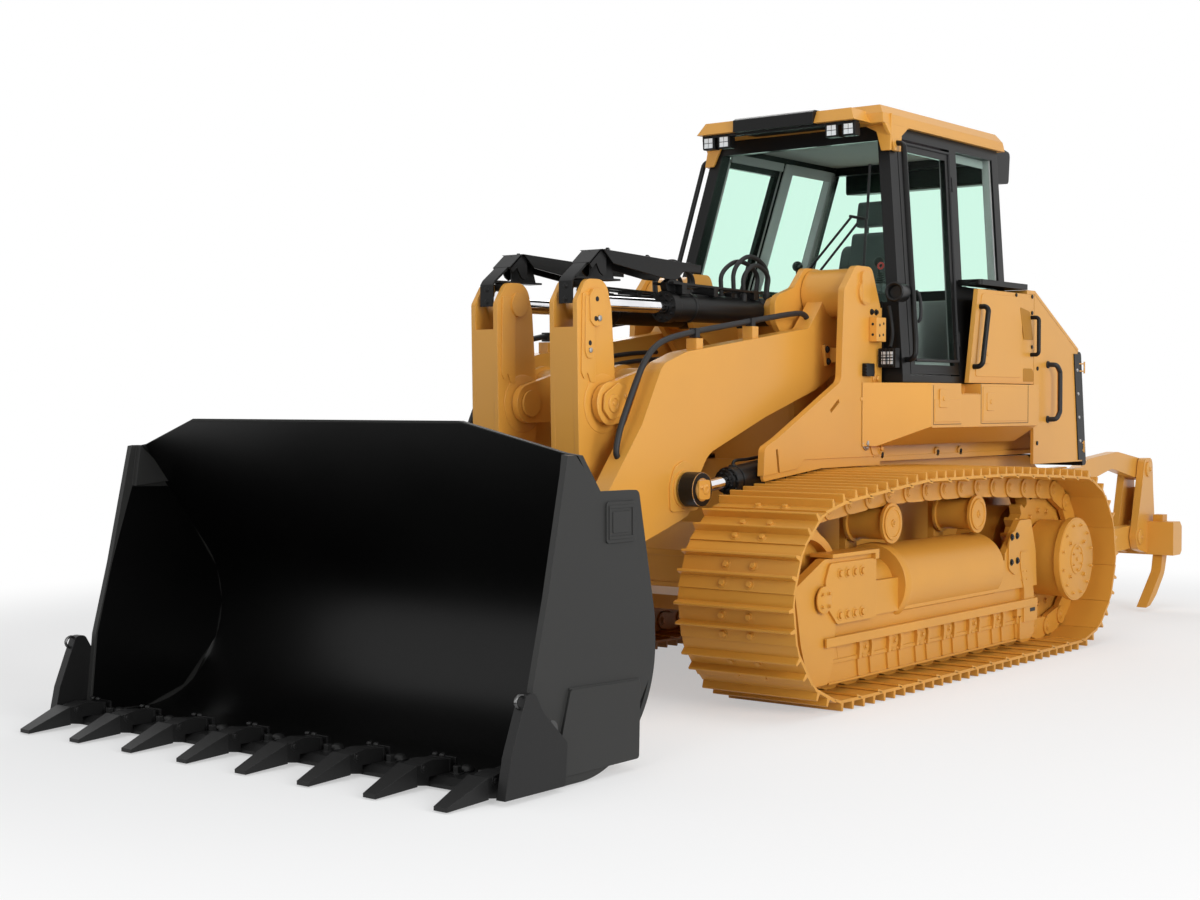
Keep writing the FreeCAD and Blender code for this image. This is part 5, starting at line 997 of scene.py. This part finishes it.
def cab_outside():
    roof_lamp_ys = (0.385, 0.500, -0.385, -0.500)
    dark = Piece()
    # front middle of the roof, lamp rail and work lamps
    dark.prism([(-0.300, 3.200), (-0.052, 3.200), (-0.052, 3.272), (-0.075, 3.285), (-0.300, 3.292)], -0.285, 0.285)
    dark.box(-0.150, -0.100, -0.545, 0.545, 3.188, 3.206)
    for y in roof_lamp_ys:
        dark.prism([(-0.165, 3.118), (-0.105, 3.118), (-0.098, 3.196), (-0.160, 3.196)], y - 0.044, y + 0.044, 0.008)
        dark.box(-0.140, -0.120, y - 0.012, y + 0.012, 3.190, 3.210)
    # wiper: two arms and a long blade
    dark.lathe(pane(0.080, 2.150, 0.020), WINDSCREEN_OUT, [(-0.020, 0.062), (0.016, 0.062), (0.024, 0.048)], 20)
    for y, z, shift in ((0.045, 2.172, -0.022), (0.120, 2.150, 0.022)):
        dark.bar(pane(y, z, 0.040), pane(0.478 + shift, 2.632 - shift, 0.045), 0.008)
    dark.bar(pane(0.440, 2.655, 0.045), pane(0.548, 2.632, 0.045), 0.009)
    for (y1, z1), (y2, z2) in (((0.560, 2.300), (0.548, 2.632)), ((0.548, 2.632), (0.536, 2.965))):
        dark.bar(pane(y1, z1, 0.022), pane(y2, z2, 0.030), 0.009)
    # black band under the windscreen
    dark.solid([[pane(y, z, proud) for y, z in ((-0.74, 1.83), (0.74, 1.83), (0.70, 2.135), (-0.70, 2.135))]
                for proud in (0.0105, 0.014)])
    for k in range(7):
        dark.lathe(pane(-0.60 + 0.20 * k, 2.105, 0.013), WINDSCREEN_OUT, [(0.0, 0.012), (0.006, 0.009)], 12)
    dark.done("cab_front_trim", BLACK, 0.001)
    lens = Piece()
    for y in roof_lamp_ys:
        lens_block(lens, (y, 3.157), 0.016, 0.014, -0.103, -0.0985)
    for y in (0.815, -0.815):
        lens_block(lens, (y, 1.798), 0.020, 0.016, -0.012, -0.006)
    lens.done("lamp_lenses", LENS)
    # roof corners that flow down the front posts
    corners = Piece()
    side = [(-0.300, 3.268), (-0.780, 3.236), (-0.560, 3.196), (-0.462, 3.140), (-0.418, 3.040), (-0.345, 3.040),
            (-0.330, 3.120), (-0.268, 3.205)]
    corners.solid([[at(x, z, side_y(z) + out) for x, z in side] for out in (0.006, 0.030)])
    front = [(0.652, 3.266), (0.300, 3.266), (0.300, 3.230), (0.470, 3.205), (0.560, 3.160), (0.605, 3.040),
             (0.668, 3.040)]
    corners.solid([[at(front_x(z) + out, z, y) for y, z in front] for out in (0.006, 0.026)])
    corners.both().done("roof_corners", YELLOW, 0.004)
    # lamp with cage, its cable and horn beside each front post
    post = Piece()
    post.box(-0.060, -0.012, 0.762, 0.868, 1.742, 1.854)
    for y in (0.768, 0.792, 0.815, 0.838, 0.862):
        post.bar(at(0.004, 1.744, y), at(0.004, 1.852, y), 0.0025, 6)
    for z in (1.750, 1.782, 1.814, 1.846):
        post.bar(at(0.004, z, 0.764), at(0.004, z, 0.866), 0.0025, 6)
    post.lathe(at(-0.190, 2.180, 0.828), (1, 0.1, 0), [(0.0, 0.040), (0.040, 0.056), (0.150, 0.058), (0.156, 0.050),
                                                       (0.150, 0.040), (0.120, 0.036)], 28)
    post.tube([at(-0.055, 2.10, 0.800), at(-0.075, 1.98, 0.815), at(-0.060, 1.90, 0.820), at(-0.035, 1.86, 0.820)],
              0.011, 8)
    # vent with its slats, and two bolts, on the tower
    post.prism([(0.075, 1.690), (0.075, 1.765), (0.165, 1.765), (0.165, 1.690)], 0.752, 0.782, 0.008)
    for k in range(4):
        post.box(0.160, 0.172, 0.756, 0.780, 1.698 + 0.018 * k, 1.706 + 0.018 * k)
    for x in (0.010, 0.062):
        post.side_bolt(x, 2.062, TOWER_OUTER_Y, 0.012, 0.012)
    post.both().done("post_lamp_and_horn", BLACK)
    block, hole_shade_discs, roof = Piece(), Piece(), Piece()
    block.box(-0.015, 0.092, 0.752, 0.806, 1.890, 2.030)
    block.both().done("tower_valve_block", YELLOW, 0.004)
    # black discs over the block's ports: painted shade for their dark insides
    for x, z in ((0.015, 1.995), (0.060, 1.985), (0.020, 1.930), (0.062, 1.925)):
        hole_shade_discs.cap(x, z, 0.8055, disc(0.008, 0.0015), 14)
    for z in (1.990, 1.930):
        hole_shade_discs.lathe(at(0.0915, z, 0.778), AHEAD, disc(0.008, 0.0015), 14)
    hole_shade_discs.both().done("tower_block_hole_shade", SEAM_BLACK_AND_HOLE_SHADE)
    for x in (-0.42, -0.80, -1.20, -1.60):
        roof.lathe(at(x, 3.2615, 0.625), UP, [(0.0, 0.012), (0.006, 0.010)], 12)
    roof.both().done("roof_details", YELLOW, 0.001)
    # studs on the box behind the roof, and the bent tube below it
    rear = Piece()
    for k in range(8):
        for z in (3.075, 3.125, 3.175):
            rear.lathe(at(-2.125 - 0.010 * (z - 3.0), z, -0.49 + 0.14 * k), (-1, 0, 0.05),
                       disc(0.022, 0.016, 0.020, 0.012), 10)
    rear.tube([at(-1.80, 2.25, 0.30), at(-1.95, 2.32, 0.30), at(-2.10, 2.30, 0.30), at(-2.14, 2.20, 0.30)], 0.022, 12)
    rear.done("roof_box_screen", PLASTIC)


def cab_doors():
    """Rubber round each door's glass with its pull bar, and the door's lining."""
    edge_low, edge_high = 1.790, 3.105
    frame_low, frame_high, grow = 1.745, 3.098, 0.040
    bar_low, bar_high, reach = 2.02, 2.20, 0.030
    for name, side in SIDES:

        def spot(x, z, out):
            return at(x, z, side * (side_y(z) + out))

        corners = [(door_front_x(edge_low), edge_low), (door_front_x(edge_high), edge_high),
                   (door_rear_x(edge_high), edge_high), (door_rear_x(edge_low), edge_low)]
        outer = [(door_front_x(frame_low) + grow, frame_low), (door_front_x(frame_high) + grow, frame_high),
                 (door_rear_x(frame_high) - grow, frame_high), (door_rear_x(frame_low) - grow, frame_low)]
        seal, lining = Piece(), Piece()
        for i in range(4):
            j = (i + 1) % 4
            seal.bar(spot(*corners[i], 0.002), spot(*corners[j], 0.002), 0.009)
            lining.solid([[spot(*place, out) for place in (outer[i], outer[j], corners[j], corners[i])]
                          for out in (-0.0345, -0.0385)])
        seal.tube([spot(door_front_x(z) - 0.050, z, out)
                   for z, out in ((bar_low, 0.004), (bar_low, reach), (bar_high, reach), (bar_high, 0.004))],
                  0.010, 10, 5)
        seal.done("cab_door_trim_" + name, PLASTIC, 0.0, "cab_door_" + name)
        lining.done("cab_door_lining_" + name, LINING, 0.0, "cab_door_" + name)


def cab_inside():
    lining = Piece()
    lining.box(-1.780, -0.420, -0.580, 0.580, 3.176, 3.196)
    lining.box(-1.480, -0.140, -0.740, 0.740, 1.7005, 1.708)
    # side consoles under the armrests
    lining.prism_pair([(-1.40, 1.708), (-0.80, 1.708), (-0.76, 2.16), (-1.36, 2.20)], 0.345, 0.52, 0.04, 3)

    def liner(side, inner, outer, *ends):
        """Strip between two depths inside the sloping cab side, its ends given as (z, rear x, front x)."""
        lining.solid([[at(x, z, side * (side_y(z) - depth))
                       for x, depth in ((rear, inner), (front, inner), (front, outer), (rear, outer))]
                      for z, rear, front in ends])

    # strips behind the doors' top gaps, then liners on the inner faces of the posts and headers
    for _, side in SIDES:
        liner(side, 0.062, 0.048, (3.088, -1.100, -0.480), (3.142, -1.100, -0.480))
        for low_x, high_x, width, depth in ((-0.790, -1.116, 0.110, 0.0605), (-1.402, -1.717, 0.098, 0.0605),
                                            (-1.402, -1.717, 0.012, 0.0120)):
            liner(side, 0.070, depth, (1.720, low_x - width, low_x), (3.140, high_x - width, high_x))
        liner(side, 0.070, 0.0605, (3.075, -1.770, -1.180), (3.142, -1.770, -1.180))
    # rear shelf and inside of the rear wall below the window
    lining.prism([(-1.500, 1.708), (-1.560, 1.708), (-1.640, 2.200), (-1.500, 2.200)], -0.60, 0.60)
    lining.done("cab_lining", LINING, 0.004)
    small = Piece()
    small.ring(at(-0.250, 2.350, 0.640), (1, 0, 0.19), 0.013, 0.023, 0.008, 20)
    small.done("red_ring", RED)
    # screen, pedals and the levers' rubber boots
    dash = Piece()
    dash.prism([(-0.470, 2.170), (-0.462, 2.200), (-0.452, 2.256), (-0.475, 2.250)], -0.105, 0.105, 0.003)
    for k in range(5):
        x, rise, shrink = -0.545 + 0.022 * k, 0.0115 * k, 0.003 * k
        for _, side in SIDES:
            y = side * 0.240
            dash.box(x, x + 0.008, y - 0.043, y + 0.043, 1.735 + rise, 1.752 + rise)
            dash.lathe(at(-0.850, 2.298 + 0.014 * k, side * 0.300), (0.2, 0, 1),
                       [(0.0, 0.036 - shrink), (0.008, 0.030 - shrink)], 14)
    dash.done("cab_controls_trim", PLASTIC)


def seat():
    """Suspension seat with bolsters; stands for the frame's operator_seat."""
    pads = Piece()
    # cushion, back and headrest
    pads.prism([(-1.185, 1.975), (-1.185, 2.070), (-0.760, 2.105), (-0.672, 2.085), (-0.668, 1.985)], -0.170, 0.170,
               0.03, 4)
    pads.prism([(-1.180, 2.090), (-1.300, 2.660), (-1.375, 2.672), (-1.262, 2.050)], -0.165, 0.165, 0.03, 4)
    pads.prism([(-1.292, 2.705), (-1.328, 2.872), (-1.402, 2.876), (-1.388, 2.702)], -0.135, 0.135, 0.025, 4)
    # bolsters beside the cushion and back, and armrests
    pads.prism_pair([(-1.180, 1.965), (-1.180, 2.085), (-0.780, 2.108), (-0.680, 2.070), (-0.676, 1.975)],
                    0.172, 0.250, 0.04, 4)
    pads.prism_pair([(-1.155, 2.100), (-1.290, 2.560), (-1.372, 2.600), (-1.262, 2.050)], 0.167, 0.240, 0.04, 4)
    pads.prism_pair([(-1.176, 2.232), (-1.176, 2.288), (-0.810, 2.288), (-0.802, 2.234)], 0.262, 0.338, 0.02, 3)
    cover = pads.done("seat_pads", FABRIC, 0.012)
    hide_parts("operator_seat")
    base = Piece()
    base.prism([(-1.120, 1.702), (-0.775, 1.702), (-0.790, 1.760), (-1.105, 1.760)], -0.190, 0.190, 0.01)
    # bellows, pan, and the posts of the armrests and headrest
    fold = [(-1.080, 0.0), (-0.810, 0.0), (-0.800, 0.018), (-0.810, 0.034), (-1.080, 0.034), (-1.090, 0.018)]
    for k in range(5):
        base.prism(moved(fold, (0.0, 1.765 + 0.037 * k)), -0.165, 0.165, 0.008)
    base.prism([(-1.170, 1.950), (-0.690, 1.950), (-0.690, 1.972), (-1.170, 1.972)], -0.195, 0.195, 0.008)
    base.prism_pair([(-1.180, 2.010), (-1.125, 2.010), (-1.125, 2.228), (-1.180, 2.228)], 0.255, 0.300, 0.01)
    for y in (0.070, -0.070):
        base.bar(at(-1.340, 2.660, y), at(-1.345, 2.730, y), 0.008, 10)
    base.done("seat_base", PLASTIC, 0.002)


# ---------------------------------------------------------------- ripper
def ripper_caps():
    """Flanged caps with a bolt on the ripper's pins."""
    for name, body, ends in (("frame", "chassis", ((-2.700, 0.500), (-2.850, 1.000))),
                             ("beam", "ripper_beam", ((-3.850, 0.540), (-4.000, 1.040)))):
        caps = Piece()
        for x, z in ends:
            caps.cap(x, z, 0.829, disc(0.058, 0.010, 0.014, 0.050), 28)
            caps.side_bolt(x, z, 0.842, 0.013, 0.010)
        caps.both().done("ripper_pin_caps_" + name, YELLOW, 0.0, body)


# ---------------------------------------------------------------- camera, light and floor
CAMERA_PLACE = (9.174, 5.9336, 1.5353)
CAMERA_HEADING = math.radians(37.968)
CAMERA_DIP = math.radians(1.4785)
CAMERA_LENS = 54.2            # mm, on a sensor 36 mm wide
FLOOR_REACH = 60.0
FLOOR_FADE = (4.6, 7.5)       # distances over which the floor turns white


def look_along(holder, direction):
    holder.rotation_euler = Vector(direction).to_track_quat("-Z", "Y").to_euler()


def area_light(name, place, target, size, power):
    lamp = bpy.data.lights.new(name, "AREA")
    lamp.shape = "RECTANGLE"
    lamp.size, lamp.size_y = size
    lamp.energy = power
    holder = new_object(name, lamp)
    holder.location = place
    look_along(holder, Vector(target) - Vector(place))
    return holder


def backdrop_rays(tree):
    """1 for rays that reach the backdrop from the camera, straight, through glass or off metal."""
    path = node(tree, "LightPath")
    result = path.outputs["Is Camera Ray"]
    for kind in ("Is Transmission Ray", "Is Glossy Ray"):
        either = node(tree, "Math")
        either.operation = "MAXIMUM"
        tree.links.new(result, either.inputs[0])
        tree.links.new(path.outputs[kind], either.inputs[1])
        result = either.outputs["Value"]
    return result


def mixed(tree, share, first, second):
    """Mix of two shaders by a share of the second."""
    mix = node(tree, "MixShader")
    for output, socket in ((share, "Fac"), (first, 1), (second, 2)):
        tree.links.new(output, mix.inputs[socket])
    return mix.outputs["Shader"]


def fading_floor():
    """Pale floor that turns into the white of the background away from the machine."""
    material, tree, surface = shader("floor_pale", (0.94, 0.94, 0.94), 0.9)
    surface.inputs["Specular IOR Level"].default_value = 0.0
    reach = node(tree, "VectorMath")
    reach.operation = "LENGTH"
    tree.links.new(node(tree, "TexCoord").outputs["Object"], reach.inputs[0])
    fade = node(tree, "MapRange", From_Min=FLOOR_FADE[0], From_Max=FLOOR_FADE[1], To_Min=0.45)
    fade.interpolation_type = "SMOOTHSTEP"
    tree.links.new(reach.outputs["Value"], fade.inputs["Value"])
    seen = node(tree, "Math")
    seen.operation = "MULTIPLY"
    tree.links.new(fade.outputs["Result"], seen.inputs[0])
    tree.links.new(backdrop_rays(tree), seen.inputs[1])
    white = node(tree, "Emission", Strength=1.0)
    result = mixed(tree, seen.outputs["Value"], surface.outputs["BSDF"], white.outputs["Emission"])
    tree.links.new(result, tree.nodes["Material Output"].inputs["Surface"])
    return material


def studio():
    r = FLOOR_REACH
    sheet = bpy.data.meshes.new("floor")
    sheet.from_pydata([(-r, -r, 0), (r, -r, 0), (r, r, 0), (-r, r, 0)], [], [(0, 1, 2, 3)])
    sheet.materials.append(fading_floor())
    floor = new_object("floor", sheet)
    floor.location.z = -0.002
    # the camera sees a white world; the machine is lit by a dimmer, cooler one
    world = bpy.data.worlds.new("studio")
    bpy.context.scene.world = world
    world.use_nodes = True
    tree = world.node_tree
    tree.nodes.clear()
    seen = node(tree, "Background", Color=(1, 1, 1, 1), Strength=1.0)
    lit = node(tree, "Background", Color=(0.97, 0.985, 1.0, 1), Strength=0.42)
    result = mixed(tree, backdrop_rays(tree), lit.outputs["Background"], seen.outputs["Background"])
    tree.links.new(result, node(tree, "OutputWorld").inputs["Surface"])
    area_light("key", (4.5, 13.0, 4.8), (0.3, 0.0, 1.2), (8, 6), 1040)
    area_light("front", (14.0, 2.0, 4.5), (1.5, 0.0, 0.8), (6, 5), 330)
    area_light("top", (0.0, 2.0, 12.0), (0.0, 0.0, 1.0), (7, 7), 240)
    back = area_light("back", (-9.0, -6.0, 7.0), (-1.5, 0.0, 1.5), (6, 6), 300)
    back.visible_transmission = False
    lens = bpy.data.cameras.new("camera")
    lens.lens = CAMERA_LENS
    lens.sensor_width = 36.0
    lens.clip_end = 200.0
    camera = new_object("camera", lens)
    camera.location = CAMERA_PLACE
    level = math.cos(CAMERA_DIP)
    look_along(camera, (-math.cos(CAMERA_HEADING) * level, -math.sin(CAMERA_HEADING) * level, -math.sin(CAMERA_DIP)))
    bpy.context.scene.camera = camera
    bpy.context.scene.view_settings.view_transform = "Standard"
    bpy.context.scene.render.engine = "CYCLES"


# ---------------------------------------------------------------- the model
finish_nodes()
build_track("track_left", TRACK_Y)
build_track("track_right", -TRACK_Y)
for build in (undercarriage, body_side, hood, lift_arms, tilt_levers, hoods, cylinders, bucket, cab_outside, cab_doors,
              cab_inside, seat, ripper_caps, studio):
    build()
